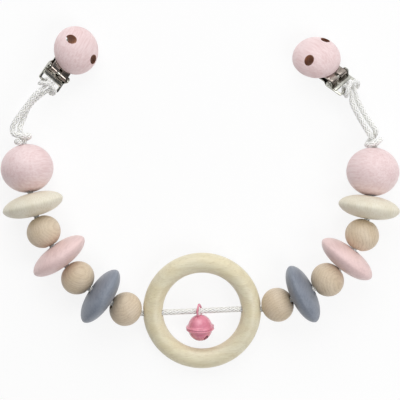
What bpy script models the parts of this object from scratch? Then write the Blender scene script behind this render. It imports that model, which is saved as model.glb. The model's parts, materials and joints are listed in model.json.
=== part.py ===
"""A pram chain toy: wooden beads, a grasping ring and a jingle bell, threaded on one
braided cord that is hitched at each end to a clip with a domed wooden button.

Metres, +Z up. The toy lies on the plane z = 0, stretched out along X, with its clips
towards +Y and its ring towards -Y.
"""
import math

import bmesh
import bpy
import numpy as np
from mathutils import Matrix, Vector

# Clearances
SEAT_GAP = 0.0003  # between pieces that touch
STRAND_GAP = 0.00065  # between strands of the cord
OVERRUN = 0.0010  # how far a cutter runs past a face
MERGE_DISTANCE = 0.00001  # points closer than this are one

# Cord
CORD_RADIUS = 0.0017
CORD_STEP = 0.0085  # between the points of its plain runs
CORD_SAG = 0.0001  # how far its straight pieces leave its curve
SQUEEZE = 0.72  # share of its thickness that it keeps in the tight hitch
SQUEEZE_REACH = 0.0050  # of the tight part, from the strap bar's middle
SQUEEZE_FADE = 0.0040  # over which it swells again

# Beads, each with a countersunk bore for the cord
LEFT_PLAY = 0.0004  # more room between the beads of the left side
RIGHT_PLAY = 0.0
BORE_RADIUS = 0.0028
MOUTH_RADIUS = 0.0031
MOUTH_DEPTH = 0.0006
ROUND_RADIUS = 0.0100
ROUND_HALF_HEIGHT = 0.0094
BIG_RADIUS = 0.0154
BIG_HALF_HEIGHT = 0.0142
LENS_RADIUS = 0.0180
LENS_HALF_HEIGHT = 0.0068
LENS_POINTEDNESS = 2.1  # 2 is an ellipse, more is a blunter rim
# How far the lens beads lean, their outward faces up
LENS_LEANS = {
    "grey_lens_bead": math.radians(1),
    "pink_lens_bead": math.radians(6),
    "cream_lens_bead": math.radians(6),
}

# Grasping ring
RING_TUBE_RADIUS = 0.00585
RING_OUTER_RADIUS = 0.0347
RING_HEIGHT = 0.0106  # of the cord through it
RING_PLACE = (0.0012, -0.0665)
RING_HEADING = math.radians(2.5)

# Jingle bell
BELL_RADIUS = 0.00725
BELL_TO_RING = 0.0048  # room between the bell's foot and the ring
BELL_WALL = 0.0007
BAND_RADIUS = 0.0083
BAND_HALF_HEIGHT = 0.0018
BAND_SHARES = [(0.33, 0.85), (0, 0.4)]  # of it: how far in, and how far up
BELL_PLACE = 0.0016  # along the cord from the ring's middle, towards the left clip
SLIT_WIDTH = 0.0012
SLIT_LENGTH = 0.0062
SLIT_END_RADIUS = 0.0012
LOOP_WIRE_RADIUS = 0.0006
LOOP_INNER_RADIUS = 0.0021
CORD_TO_CROWN = 0.0024  # from the cord's middle to the top of the bell
BELL_HALF_HEIGHT = (
    RING_OUTER_RADIUS - 2 * RING_TUBE_RADIUS - CORD_TO_CROWN - BELL_TO_RING
) / 2
PELLET_RADIUS = 0.0020
PELLET_GAP = 0.00032646  # its least room to the bell's wall

# Clip button
BUTTON_RADIUS = 0.0142
BUTTON_HEIGHT = 0.0106
BUTTON_RIM = 0.0011
BUTTON_RIM_TAPER = 0.0004
VENT_RADIUS = 0.00275
VENT_PITCH_RADIUS = 0.0092

# Clip metalwork, laid out from the middle of its web, which parts the strap slot from
# the floor under the lever
SHEET = 0.0009  # thickness of the stamped metal
PLATE_WIDTH = 0.0155
WEB_WIDTH = 0.0024
WEB_RISE = 0.0006  # of its pressed-up face over the plate
SLOT_LENGTH = 0.0030
SLOT_SIDE = 0.0015  # metal left beside the slot
BAR_WIDTH = 0.0012  # the strap bar behind the slot
PIVOT_FROM_WEB = 0.0037
PIVOT_HEIGHT = 0.0027
PIN_RADIUS = 0.0010
PIN_HEAD_RADIUS = 0.0016
PIN_HEAD_LENGTH = 0.0004
EAR_RADIUS = 0.0020
BARREL_RADIUS = 0.0019
BUTTON_FROM_WEB = 0.0203
NOSE_FROM_WEB = 0.0283
NOSE_WIDTH = 0.0124
LIP_HEIGHT = 0.0022
LEVER_WIDTH = 0.0124
PAD_LENGTH = 0.0075
TOOTH_PITCH = 0.0015
TOOTH_DEPTH = 0.0009
RIVET_RADIUS = 0.0014
RIVET_HEAD_RADIUS = 0.0028
RIVET_HEAD_HEIGHT = 0.0007
RIVET_DEPTH = 0.0050  # into the button

# Half of the cow hitch round the strap bar, from the lead to the middle of its bight,
# counted from the bar in the clip's own directions and chosen by hand
HITCH = [
    (-0.0016, 0.0016, 0.0023),
    (0.0002, 0.0016, 0.0023),
    (0.0016, 0.0018, 0.0016),
    (0.0022, 0.0021, 0.0000),
    (0.0016, 0.0026, -0.0016),
    (0.0000, 0.0032, -0.0022),
    (-0.0017, 0.0038, -0.0021),
    (-0.0030, 0.0044, -0.0007),
    (-0.0033, 0.0046, 0.0011),
    (-0.0030, 0.0044, 0.0030),
    (-0.0022, 0.0031, 0.0049),
    (-0.0018, 0.0000, 0.0054),
]

# Knot beside the big bead
KNOT_TURNS = 1.10
KNOT_RISE = 0.0074
KNOT_TURN_EASE = 1.6  # more than 1 turns later
KNOT_DROP_EASE = 2.2  # more than 1 drops sooner
KNOT_FOOT = 0.0031  # from the bead's end to the knot's lowest strand
LEFT_KNOT_HAND = 1  # the cut end lies on the left of the knot
RIGHT_KNOT_HAND = -1  # and here on its right
STUB_LENGTH = 0.0048
STUB_DROP = 0.0012

# Easing of the cord's strands apart
EASE_ROUNDS = 60
EASE_PINNED = 5  # points at the bead that stay where they are
EASE_SMOOTH = 0.5  # share of the way towards the middle of a point's neighbours
EASE_SWELL = -0.52  # and back again, so that bends keep their size

# Numbers of faces
BEAD_STEPS = 20
ARC_POINTS = 9
CORD_SIDES_RESOLUTION = 2
LOOP_POINTS = 20

# The cord's own route from the ring outwards, chosen by hand
LEFT_ROUTE = [
    (-0.0340, -0.0680, 0.0107),
    (-0.0436, -0.0656, 0.0136),
    (-0.0582, -0.0575, 0.0181),
    (-0.0714, -0.0469, 0.0181),
    (-0.0822, -0.0340, 0.0180),
    (-0.0913, -0.0199, 0.0181),
    (-0.0975, -0.0043, 0.0181),
    (-0.1011, 0.0169, 0.0155),
    (-0.1028, 0.0312, 0.0150),
    (-0.1042, 0.0362, 0.0150),
    (-0.1060, 0.0415, 0.0152),
]
RIGHT_ROUTE = [
    (0.0362, -0.0656, 0.0107),
    (0.0448, -0.0632, 0.0136),
    (0.0600, -0.0562, 0.0181),
    (0.0748, -0.0480, 0.0181),
    (0.0856, -0.0358, 0.0180),
    (0.0945, -0.0228, 0.0181),
    (0.0984, -0.0071, 0.0183),
    (0.1008, 0.0130, 0.0155),
    (0.1022, 0.0285, 0.0150),
    (0.1014, 0.0330, 0.0150),
    (0.0990, 0.0376, 0.0152),
]
# The middle of each doubled lead, from its knot to its hitch, and how far its two strands
# are twisted there
LEFT_TWISTS = [math.radians(angle) for angle in (0, 35, 60, 45, 0)]
RIGHT_TWISTS = [math.radians(angle) for angle in (0, 5, 10, 5, 0)]
LEFT_LEAD = [
    (-0.1050, 0.0460, 0.0153),
    (-0.1010, 0.0530, 0.0155),
    (-0.0956, 0.0592, 0.0168),
]
RIGHT_LEAD = [
    (0.0968, 0.0446, 0.0154),
    (0.0936, 0.0500, 0.0160),
    (0.0905, 0.0560, 0.0172),
]

# Where each clip lies: the middle of its web, and how it is turned
LEFT_WEB = (-0.0864, 0.0702)
LEFT_HEADING = math.radians(58.8)
LEFT_PITCH = math.radians(19.9)
LEFT_ROLL = math.radians(29.4)
LEFT_BUTTON_TURN = math.radians(0)
RIGHT_WEB = (0.0832, 0.0668)
RIGHT_HEADING = math.radians(142.3)
RIGHT_PITCH = math.radians(23.2)
RIGHT_ROLL = math.radians(27.0)
RIGHT_BUTTON_TURN = math.radians(10)

CHAIN = ["round", "lens", "round", "lens", "round", "lens", "big"]
CHAIN_NAMES = [
    "round_bead_3",
    "grey_lens_bead",
    "round_bead_2",
    "pink_lens_bead",
    "round_bead_1",
    "cream_lens_bead",
    "big_bead",
]
COLOURS = {
    "cord": ((0.88, 0.88, 0.86), 0.9, 0),
    "round": ((0.69, 0.56, 0.40), 0.5, 0),
    "cream_lens_bead": ((0.80, 0.75, 0.62), 0.5, 0),
    "pink_lens_bead": ((0.82, 0.64, 0.62), 0.5, 0),
    "grey_lens_bead": ((0.27, 0.30, 0.36), 0.5, 0),
    "big_bead": ((0.82, 0.64, 0.64), 0.5, 0),
    "ring": ((0.78, 0.70, 0.50), 0.5, 0),
    "bell": ((0.77, 0.28, 0.40), 0.3, 0),
    "bare_metal": ((0.55, 0.53, 0.50), 0.3, 1),
    "pad": ((0.75, 0.75, 0.72), 0.6, 0),
}


def clear_scene():
    for thing in list(bpy.data.objects):
        bpy.data.objects.remove(thing, do_unlink=True)


def collection(name):
    found = bpy.data.collections.new(name)
    bpy.context.scene.collection.children.link(found)
    return found


def material(name):
    colour, roughness, metallic = COLOURS[name]
    found = bpy.data.materials.get(name)
    if found is None:
        found = bpy.data.materials.new(name)
        found.use_nodes = True
        shader = found.node_tree.nodes["Principled BSDF"]
        shader.inputs["Base Color"].default_value = (*colour, 1)
        shader.inputs["Roughness"].default_value = roughness
        shader.inputs["Metallic"].default_value = metallic
        found.diffuse_color = (*colour, 1)
    return found


def place(name, data, group, matrix=None, finish=None):
    """Put mesh or curve data in the scene under a name."""
    thing = bpy.data.objects.new(name, data)
    group.objects.link(thing)
    if matrix is not None:
        thing.matrix_world = matrix
    if finish:
        data.materials.append(material(finish))
    return thing


def as_tool(thing):
    """Keep a cutter, or a shape to be joined on, out of the finished model."""
    thing.hide_render = True
    thing.display_type = "WIRE"
    return thing


def boolean(thing, operand, operation):
    step = thing.modifiers.new(operation.title(), "BOOLEAN")
    step.object = operand
    step.operation = operation
    step.solver = "EXACT"


def turned(name, outline, group, matrix, finish, steps=BEAD_STEPS, closed=True):
    """Turn an outline of (radius, height) points about the local Z axis."""
    mesh = bpy.data.meshes.new(name)
    points = [(radius, 0, height) for radius, height in outline]
    edges = [(i, i + 1) for i in range(len(points) - 1)]
    if closed:
        edges.append((len(points) - 1, 0))
    mesh.from_pydata(points, edges, [])
    thing = place(name, mesh, group, matrix, finish)
    screw = thing.modifiers.new("Turn", "SCREW")
    screw.axis = "Z"
    screw.angle = 2 * math.pi
    screw.steps = steps
    screw.render_steps = steps
    screw.use_merge_vertices = True
    screw.merge_threshold = MERGE_DISTANCE
    screw.use_smooth_shade = True
    return thing


def cylinder(name, radius, low, high, group, matrix, segments=16):
    """A cylinder along the local Z axis, from low to high."""
    mesh = bpy.data.meshes.new(name)
    shape = bmesh.new()
    bmesh.ops.create_cone(
        shape, cap_ends=True, segments=segments, radius1=radius, radius2=radius, depth=high - low
    )
    bmesh.ops.translate(shape, verts=shape.verts, vec=(0, 0, (low + high) / 2))
    shape.to_mesh(mesh)
    shape.free()
    return place(name, mesh, group, matrix)


def block(name, low, high, group, matrix):
    """A box between two corners."""
    mesh = bpy.data.meshes.new(name)
    shape = bmesh.new()
    bmesh.ops.create_cube(shape, size=1)
    low, high = Vector(low), Vector(high)
    bmesh.ops.scale(shape, verts=shape.verts, vec=high - low)
    bmesh.ops.translate(shape, verts=shape.verts, vec=(low + high) / 2)
    shape.to_mesh(mesh)
    shape.free()
    return place(name, mesh, group, matrix)


def slab(name, outlines, thickness, group, matrix, finish=None):
    """A flat outline with any holes, given thickness both ways from its plane."""
    curve = bpy.data.curves.new(name, "CURVE")
    curve.dimensions = "2D"
    curve.fill_mode = "BOTH"
    curve.extrude = thickness / 2
    for outline in outlines:
        spline = curve.splines.new("POLY")
        spline.points.add(len(outline) - 1)
        for point, (x, y) in zip(spline.points, outline):
            point.co = (x, y, 0, 1)
        spline.use_cyclic_u = True
    sketch = place(name + "_sketch", curve, group, matrix)
    bpy.context.view_layer.update()
    graph = bpy.context.evaluated_depsgraph_get()
    mesh = bpy.data.meshes.new_from_object(sketch.evaluated_get(graph))
    mesh.name = name
    shape = bmesh.new()
    shape.from_mesh(mesh)
    bmesh.ops.remove_doubles(shape, verts=shape.verts, dist=MERGE_DISTANCE)
    bmesh.ops.recalc_face_normals(shape, faces=shape.faces)
    shape.to_mesh(mesh)
    shape.free()
    bpy.data.objects.remove(sketch, do_unlink=True)
    return place(name, mesh, group, matrix, finish)


def arc(middle, radius, start, end, count):
    """Points on an arc in a plane, from one angle to another."""
    found = []
    for i in range(count):
        angle = start + (end - start) * i / (count - 1)
        found.append((middle[0] + radius * math.cos(angle), middle[1] + radius * math.sin(angle)))
    return found


def axes(x, y, z, origin):
    """A placement from three directions and an origin."""
    found = Matrix((x, y, z)).transposed().to_4x4()
    found.translation = origin
    return found


def frame_along(direction, origin):
    """A placement whose Z axis runs along a direction and whose X axis stays level."""
    z = Vector(direction).normalized()
    x = Vector((0, 0, 1)).cross(z).normalized()
    return axes(x, z.cross(x), z, origin)


def smooth_line(points, steps=24):
    """A smooth line through points, with even steps between each two of them."""
    points = [Vector(p) for p in points]
    ends = [2 * points[0] - points[1], *points, 2 * points[-1] - points[-2]]
    line = []
    for before, start, end, after in zip(ends, ends[1:], ends[2:], ends[3:]):
        for i in range(steps):
            t = i / steps
            line.append(
                (
                    2 * start
                    + (end - before) * t
                    + (2 * before - 5 * start + 4 * end - after) * t**2
                    + (3 * start - 3 * end + after - before) * t**3
                )
                / 2
            )
    line.append(points[-1])
    return line


class Route:
    """A line that is measured along its length."""

    def __init__(self, line):
        self.line = line
        self.along = [0]
        for a, b in zip(line, line[1:]):
            self.along.append(self.along[-1] + (b - a).length)
        self.length = self.along[-1]

    def at(self, distance):
        for i in range(1, len(self.line)):
            if self.along[i] >= distance or i == len(self.line) - 1:
                share = (distance - self.along[i - 1]) / (self.along[i] - self.along[i - 1])
                return self.line[i - 1].lerp(self.line[i], share)

    def seat(self, middle, length, samples=16):
        """The middle and direction of a straight bore of this length on the line."""
        points = [self.at(middle + length * (i / samples - 0.5)) for i in range(samples + 1)]
        return sum(points, Vector()) / len(points), (points[-1] - points[0]).normalized()

    def between(self, start, end, step):
        count = max(1, round((end - start) / step))
        return [self.at(start + (end - start) * i / count) for i in range(count + 1)]


# Beads


def bead_outline(radius, half_height, pointedness):
    """A turned bead's outline, down its outside and up its bore. Also its half length."""
    end = half_height * (1 - (MOUTH_RADIUS / radius) ** pointedness) ** (1 / pointedness)
    widest = math.asin(1)
    first = math.acos((MOUTH_RADIUS / radius) ** (pointedness / 2))
    outside = []
    for i in range(ARC_POINTS):
        angle = first + (-2 * first) * i / (ARC_POINTS - 1)
        across = math.cos(angle) ** (2 / pointedness) if abs(angle) < widest else 0
        up = abs(math.sin(angle)) ** (2 / pointedness) * (1 if angle >= 0 else -1)
        outside.append((radius * across, half_height * up))
    bore = [(BORE_RADIUS, -end + MOUTH_DEPTH), (BORE_RADIUS, end - MOUTH_DEPTH)]
    return outside + bore, end


BEAD_SHAPES = {
    "round": (ROUND_RADIUS, ROUND_HALF_HEIGHT, 2),
    "lens": (LENS_RADIUS, LENS_HALF_HEIGHT, LENS_POINTEDNESS),
    "big": (BIG_RADIUS, BIG_HALF_HEIGHT, 2),
}


def make_beads(side, route, start, play, group):
    """Thread the beads of one side outwards from the ring. Returns how far they reach."""
    reach = start
    before = (route.at(start) - route.at(0)).normalized()
    for shape, piece in zip(CHAIN, CHAIN_NAMES):
        outline, half = bead_outline(*BEAD_SHAPES[shape])
        ahead = route.seat(reach + half, 2 * half)[1]
        reach += SEAT_GAP + play + half + 2 * MOUTH_RADIUS * math.sin(before.angle(ahead) / 2)
        middle, direction = route.seat(reach, 2 * half)
        before = direction
        if piece in LENS_LEANS:
            level = direction.cross(Vector((0, 0, 1)))
            direction = Matrix.Rotation(LENS_LEANS[piece], 3, level) @ direction
        name = f"{side}_{piece}"
        finish = "round" if shape == "round" else piece
        turned(name, outline, group, frame_along(direction, middle), finish)
        report_clearance(name, route, reach, half, middle, direction)
        reach += half
    return reach


def report_clearance(name, route, centre, half, middle, direction):
    """Print the least room between the cord and a bead's bore."""
    worst = 0
    for i in range(17):
        offset = route.at(centre + half * (i / 8 - 1)) - middle
        worst = max(worst, (offset - offset.dot(direction) * direction).length)
    room = BORE_RADIUS - CORD_RADIUS - worst
    print(f"{name}: place {[round(v, 5) for v in middle]} axis {[round(v, 5) for v in direction]}"
          f" room round the cord {room * 1000:.2f} mm")


# Grasping ring


def ring_line():
    """The middle of the ring and the direction of the cord through it."""
    middle = Vector((*RING_PLACE, RING_HEIGHT))
    return middle, Vector((math.cos(RING_HEADING), math.sin(RING_HEADING), 0))


def make_ring(group, tools):
    middle, along = ring_line()
    major = RING_OUTER_RADIUS - RING_TUBE_RADIUS
    tilt = math.asin((RING_HEIGHT - RING_TUBE_RADIUS) / major)
    level = axes(along, Vector((0, 0, 1)).cross(along), Vector((0, 0, 1)), middle)
    stand = level @ Matrix.Rotation(tilt, 4, "X")
    bpy.ops.mesh.primitive_torus_add(
        major_segments=44, minor_segments=12, major_radius=major, minor_radius=RING_TUBE_RADIUS
    )
    ring = bpy.context.object
    ring.name = "grasping_ring"
    for home in list(ring.users_collection):
        home.objects.unlink(ring)
    group.objects.link(ring)
    ring.matrix_world = stand
    ring.data.shade_smooth()
    ring.data.materials.append(material("ring"))
    reach = RING_OUTER_RADIUS + OVERRUN
    drill = cylinder(
        "ring_drill", BORE_RADIUS, -reach, reach, tools, frame_along(along, middle), 12
    )
    boolean(ring, as_tool(drill), "DIFFERENCE")


# Jingle bell


def bell_frame():
    """Local Z points from the bell to the cord, and local X runs along the cord."""
    middle, along = ring_line()
    hook = middle - along * BELL_PLACE
    distance = CORD_TO_CROWN + BELL_HALF_HEIGHT
    dip = math.asin((RING_HEIGHT - BAND_RADIUS) / distance)
    level = axes(along, Vector((0, 0, 1)).cross(along), Vector((0, 0, 1)), hook)
    return level @ Matrix.Rotation(dip - math.pi / 2, 4, "X")


def shell_outline(radius, height):
    """Half of the bell, open at its widest: outside, flange and inside."""
    count = 7
    outer = []
    inner = []
    for i in range(count):
        angle = math.pi / 2 * i / (count - 1)
        outer.append((radius * math.sin(angle), height * math.cos(angle)))
        inner.append(
            ((radius - BELL_WALL) * math.sin(angle), (height - BELL_WALL) * math.cos(angle))
        )
    lift = SEAT_GAP / 2
    step = BAND_HALF_HEIGHT
    slope = math.sqrt(1 - (step / height) ** 2) * radius
    body = [p for p in outer if p[1] > step]
    flange = [(slope, step)]
    flange += [(BAND_RADIUS - step * inward, step * up) for inward, up in BAND_SHARES]
    flange += [(BAND_RADIUS, lift), (radius - BELL_WALL, lift)]
    return body + flange + [p for p in reversed(inner) if p[1] > lift]


def make_bell(group, tools):
    frame = bell_frame()
    centre = frame @ Matrix.Translation((0, 0, -CORD_TO_CROWN - BELL_HALF_HEIGHT))
    outline = shell_outline(BELL_RADIUS, BELL_HALF_HEIGHT)
    turned("bell_upper_shell", outline, group, centre, "bell", closed=False)
    lower = turned(
        "bell_lower_shell", outline, group, centre @ Matrix.Rotation(math.pi, 4, "X"), "bell",
        closed=False,
    )
    depth = BELL_HALF_HEIGHT + OVERRUN
    turn = centre @ Matrix.Rotation(math.pi, 4, "X")
    half = SLIT_LENGTH / 2
    low = BELL_HALF_HEIGHT / 2
    slot = block(
        "bell_slit", (-half, -SLIT_WIDTH / 2, low), (half, SLIT_WIDTH / 2, depth), tools, turn
    )
    boolean(lower, as_tool(slot), "DIFFERENCE")
    for end in (-1, 1):
        drill = cylinder(
            f"bell_slit_end_{end}", SLIT_END_RADIUS, low, depth, tools,
            turn @ Matrix.Translation((end * half, 0, 0)), 10,
        )
        boolean(lower, as_tool(drill), "DIFFERENCE")
    make_bell_loop(frame, group)
    make_pellet(centre, group)


def make_bell_loop(frame, group):
    """A wire staple round the cord, its two feet on the bell's crown."""
    bend = LOOP_INNER_RADIUS + LOOP_WIRE_RADIUS
    drop = BELL_HALF_HEIGHT * (1 - math.sqrt(1 - (bend / BELL_RADIUS) ** 2))
    foot = -CORD_TO_CROWN - drop + SEAT_GAP + LOOP_WIRE_RADIUS / 2
    points = [(0, y, z) for y, z in arc((0, 0), bend, 0, math.pi, 9)]
    points = [(0, bend, foot)] + points + [(0, -bend, foot)]
    wire("bell_loop", points, LOOP_WIRE_RADIUS, group, frame, "bell", 1)


def make_pellet(centre, group):
    """A loose ball, lying on the lowest side of the bell."""
    room = BELL_WALL + PELLET_GAP + PELLET_RADIUS
    steepness = centre.col[2].z
    across = math.sqrt(1 - steepness**2) / (BELL_RADIUS - room)
    orbit = 1 / math.hypot(across, steepness / (BELL_HALF_HEIGHT - room))
    mesh = bpy.data.meshes.new("bell_pellet")
    shape = bmesh.new()
    bmesh.ops.create_uvsphere(shape, u_segments=12, v_segments=8, radius=PELLET_RADIUS)
    shape.to_mesh(mesh)
    shape.free()
    mesh.shade_smooth()
    low = centre.translation - Vector((0, 0, orbit))
    place("bell_pellet", mesh, group, Matrix.Translation(low), "bare_metal")


def wire(name, points, radius, group, matrix, finish, resolution):
    """A round wire or cord along points, with filled ends."""
    curve = bpy.data.curves.new(name, "CURVE")
    curve.dimensions = "3D"
    curve.bevel_depth = radius
    curve.bevel_resolution = resolution
    curve.use_fill_caps = True
    spline = curve.splines.new("POLY")
    spline.points.add(len(points) - 1)
    for point, spot in zip(spline.points, points):
        point.co = (*spot, 1)
    return place(name, curve, group, matrix, finish)


# Clips


class Clip:
    """The places of one clip's pieces. Local X runs to its nose, Z to its button's top."""

    def __init__(self, side, web, heading, pitch, roll, button_turn):
        self.side = side
        self.button_turn = button_turn
        ahead = Vector((math.cos(heading), math.sin(heading), 0))
        aside = Vector((-math.sin(heading), math.cos(heading), 0))
        x = math.cos(pitch) * ahead - math.sin(pitch) * Vector((0, 0, 1))
        up = x.cross(aside)
        y = math.cos(roll) * aside + math.sin(roll) * up
        z = x.cross(y)
        turn = axes(x, y, z, Vector())
        nose = [
            (NOSE_FROM_WEB, side * NOSE_WIDTH / 2, -SHEET / 2) for side in (-1, 1)
        ]
        height = -min((turn @ Vector(corner)).z for corner in nose)
        self.frame = axes(x, y, z, Vector((*web, height)))

    def at(self, x=0, y=0, z=0):
        return self.frame @ Matrix.Translation((x, y, z))

    def point(self, x, y, z):
        return self.frame @ Vector((x, y, z))


BASE_TOP = SHEET / 2
STRAP_BAR_PLACE = -WEB_WIDTH / 2 - SLOT_LENGTH - BAR_WIDTH / 2
LEVER_TOP = PIVOT_HEIGHT + BARREL_RADIUS
LEVER_BOTTOM = LEVER_TOP - SHEET
BUTTON_BOTTOM = LEVER_TOP + SEAT_GAP
BORE_OVER_PIN = PIN_RADIUS + SEAT_GAP


def across(frame):
    """Turn a placement so that local Z runs across the clip and local X stays."""
    return frame @ Matrix.Rotation(math.pi / 2, 4, "X")


def make_base(clip, group, tools):
    """The stamped base: strap bar, slot, web, floor, two folded ears and a toothed lip."""
    half = PLATE_WIDTH / 2
    slot_end = -WEB_WIDTH / 2
    slot_start = slot_end - SLOT_LENGTH
    back = slot_start - BAR_WIDTH
    shoulder = PIVOT_FROM_WEB + EAR_RADIUS
    nose = NOSE_WIDTH / 2
    corner = [
        (-x, y) for x, y in arc((-back - BAR_WIDTH, half - BAR_WIDTH), BAR_WIDTH, math.pi / 2, 0, 5)
    ]
    side = [*reversed(corner), (shoulder, half), (shoulder + half - nose, nose)]
    side.append((NOSE_FROM_WEB, nose))
    outline = side + [(x, -y) for x, y in reversed(side)]
    gap = half - SLOT_SIDE
    slot = [(slot_start, -gap), (slot_end, -gap), (slot_end, gap), (slot_start, gap)]
    base = slab(f"{clip.side}_clip_base", [outline, slot], SHEET, group, clip.at(), "bare_metal")
    top = PIVOT_HEIGHT
    ear = [(PIVOT_FROM_WEB + EAR_RADIUS, 0)]
    ear += arc((PIVOT_FROM_WEB, top), EAR_RADIUS, 0, math.pi, 9)
    ear += [(PIVOT_FROM_WEB - EAR_RADIUS, 0)]
    bore = arc((PIVOT_FROM_WEB, top), BORE_OVER_PIN, 0, 2 * math.pi, 13)[:-1]
    for side in (-1, 1):
        shift = Matrix.Translation((0, 0, side * (half - SHEET / 2)))
        wing = slab(
            f"{clip.side}_ear_{side}", [ear, bore], SHEET, tools, across(clip.at()) @ shift
        )
        boolean(base, as_tool(wing), "UNION")
    rib = block(
        f"{clip.side}_web_rib", (-WEB_WIDTH / 2, -gap, 0), (WEB_WIDTH / 2, gap, BASE_TOP + WEB_RISE),
        tools, clip.at(),
    )
    boolean(base, as_tool(rib), "UNION")
    make_lip(clip, base, tools)


def make_lip(clip, base, tools):
    """The nose of the base, turned up and cut into teeth."""
    nose = NOSE_WIDTH / 2
    count = round(NOSE_WIDTH / TOOTH_PITCH / 2) * 2
    pitch = NOSE_WIDTH / count
    high = BASE_TOP + LIP_HEIGHT
    saw = [(nose, 0)]
    for i in range(count + 1):
        dip = TOOTH_DEPTH if i % 2 else 0
        saw.append((nose - i * pitch, high - dip))
    saw.append((-nose, 0))
    stand = clip.at(NOSE_FROM_WEB - SHEET / 2) @ Matrix.Rotation(math.pi / 2, 4, "Z")
    lip = slab(f"{clip.side}_lip", [saw], SHEET, tools, across(stand))
    boolean(base, as_tool(lip), "UNION")


def make_lever(clip, group, tools):
    """The lever: a plate whose end is rolled into a barrel round the pin."""
    half = LEVER_WIDTH / 2
    tip = NOSE_FROM_WEB - SHEET - SEAT_GAP
    plate = [
        (PIVOT_FROM_WEB, -half),
        (tip - half / 2, -half),
        (tip, -half / 2),
        (tip, half / 2),
        (tip - half / 2, half),
        (PIVOT_FROM_WEB, half),
    ]
    lever = slab(
        f"{clip.side}_clip_lever", [plate], SHEET, group,
        clip.at(z=LEVER_TOP - SHEET / 2), "bare_metal",
    )
    pivot = across(clip.at(PIVOT_FROM_WEB, 0, PIVOT_HEIGHT))
    barrel = cylinder(f"{clip.side}_barrel", BARREL_RADIUS, -half, half, tools, pivot)
    bore = cylinder(
        f"{clip.side}_barrel_bore", BORE_OVER_PIN, -half - OVERRUN, half + OVERRUN, tools, pivot, 12
    )
    rivet = cylinder(
        f"{clip.side}_lever_hole", RIVET_RADIUS + SEAT_GAP, LEVER_BOTTOM - OVERRUN,
        LEVER_TOP + OVERRUN, tools, clip.at(BUTTON_FROM_WEB - PAD_LENGTH), 12,
    )
    boolean(lever, as_tool(barrel), "UNION")
    boolean(lever, as_tool(bore), "DIFFERENCE")
    boolean(lever, as_tool(rivet), "DIFFERENCE")


def make_jaw_pad(clip, group):
    """The toothed insert under the lever, which bites on the base's plate."""
    end = NOSE_FROM_WEB - SHEET - SEAT_GAP
    start = end - PAD_LENGTH
    top = LEVER_BOTTOM - SEAT_GAP
    bottom = BASE_TOP + SEAT_GAP
    count = round(PAD_LENGTH / TOOTH_PITCH) * 2
    saw = [(end, top), (start, top)]
    for i in range(count + 1):
        rise = 0 if i % 2 else TOOTH_DEPTH
        saw.append((start + PAD_LENGTH * i / count, bottom + rise))
    width = LEVER_WIDTH - SHEET
    slab(f"{clip.side}_clip_jaw_pad", [saw], width, group, across(clip.at()), "pad")


def make_pin(clip, group):
    """The hinge pin through both ears, with a low head at each end."""
    head = PLATE_WIDTH / 2 + SEAT_GAP
    tip = head + PIN_HEAD_LENGTH
    outline = [
        (0, tip),
        (PIN_HEAD_RADIUS, tip),
        (PIN_HEAD_RADIUS, head),
        (PIN_RADIUS, head),
        (PIN_RADIUS, -head),
        (PIN_HEAD_RADIUS, -head),
        (PIN_HEAD_RADIUS, -tip),
        (0, -tip),
    ]
    pivot = across(clip.at(PIVOT_FROM_WEB, 0, PIVOT_HEIGHT))
    turned(f"{clip.side}_clip_pin", outline, group, pivot, "bare_metal", 12, closed=False)


def make_rivet(clip, group):
    """The rivet that holds the button on the lever."""
    under = LEVER_BOTTOM - SEAT_GAP
    outline = [
        (0, BUTTON_BOTTOM + RIVET_DEPTH - SEAT_GAP),
        (RIVET_RADIUS, BUTTON_BOTTOM + RIVET_DEPTH - SEAT_GAP),
        (RIVET_RADIUS, under),
        (RIVET_HEAD_RADIUS, under),
        (RIVET_HEAD_RADIUS, under - RIVET_HEAD_HEIGHT),
        (0, under - RIVET_HEAD_HEIGHT),
    ]
    spot = clip.at(BUTTON_FROM_WEB - PAD_LENGTH)
    turned(f"{clip.side}_clip_rivet", outline, group, spot, "bare_metal", 12, closed=False)


def make_button(clip, group, tools):
    """The domed wooden button with its two vent holes and the rivet's blind hole."""
    rim = BUTTON_RADIUS - BUTTON_RIM_TAPER
    outline = []
    for i in range(ARC_POINTS + 1):
        angle = math.pi / 2 * (1 - i / ARC_POINTS)
        outline.append(
            (BUTTON_RADIUS * math.cos(angle), BUTTON_RIM + BUTTON_HEIGHT * math.sin(angle))
        )
    outline[0] = (0, BUTTON_RIM + BUTTON_HEIGHT)
    outline += [(rim, 0), (0, 0)]
    spot = clip.at(BUTTON_FROM_WEB, 0, BUTTON_BOTTOM)
    button = turned(f"{clip.side}_clip_button", outline, group, spot, "big_bead", 28, closed=False)
    for side in (-1, 1):
        vent = cylinder(
            f"{clip.side}_vent_{side}", VENT_RADIUS, -OVERRUN, BUTTON_HEIGHT + OVERRUN, tools,
            spot
            @ Matrix.Rotation(clip.button_turn, 4, "Z")
            @ Matrix.Translation((0, side * VENT_PITCH_RADIUS, 0)), 12,
        )
        boolean(button, as_tool(vent), "DIFFERENCE")
    hole = cylinder(
        f"{clip.side}_rivet_hole", RIVET_RADIUS + SEAT_GAP, -OVERRUN, RIVET_DEPTH, tools,
        spot @ Matrix.Translation((-PAD_LENGTH, 0, 0)), 12,
    )
    boolean(button, as_tool(hole), "DIFFERENCE")


def make_clip(clip, group, tools):
    make_base(clip, group, tools)
    make_lever(clip, group, tools)
    make_jaw_pad(clip, group)
    make_pin(clip, group)
    make_rivet(clip, group)
    make_button(clip, group, tools)


# Cord


def hitch_line(clip):
    """The cow hitch round the strap bar, from one lead to the other, in world places."""
    other = [(x, -y, z) for x, y, z in reversed(HITCH[:-1])]
    return [clip.point(STRAP_BAR_PLACE + x, -y, z) for x, y, z in HITCH + other]


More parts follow.
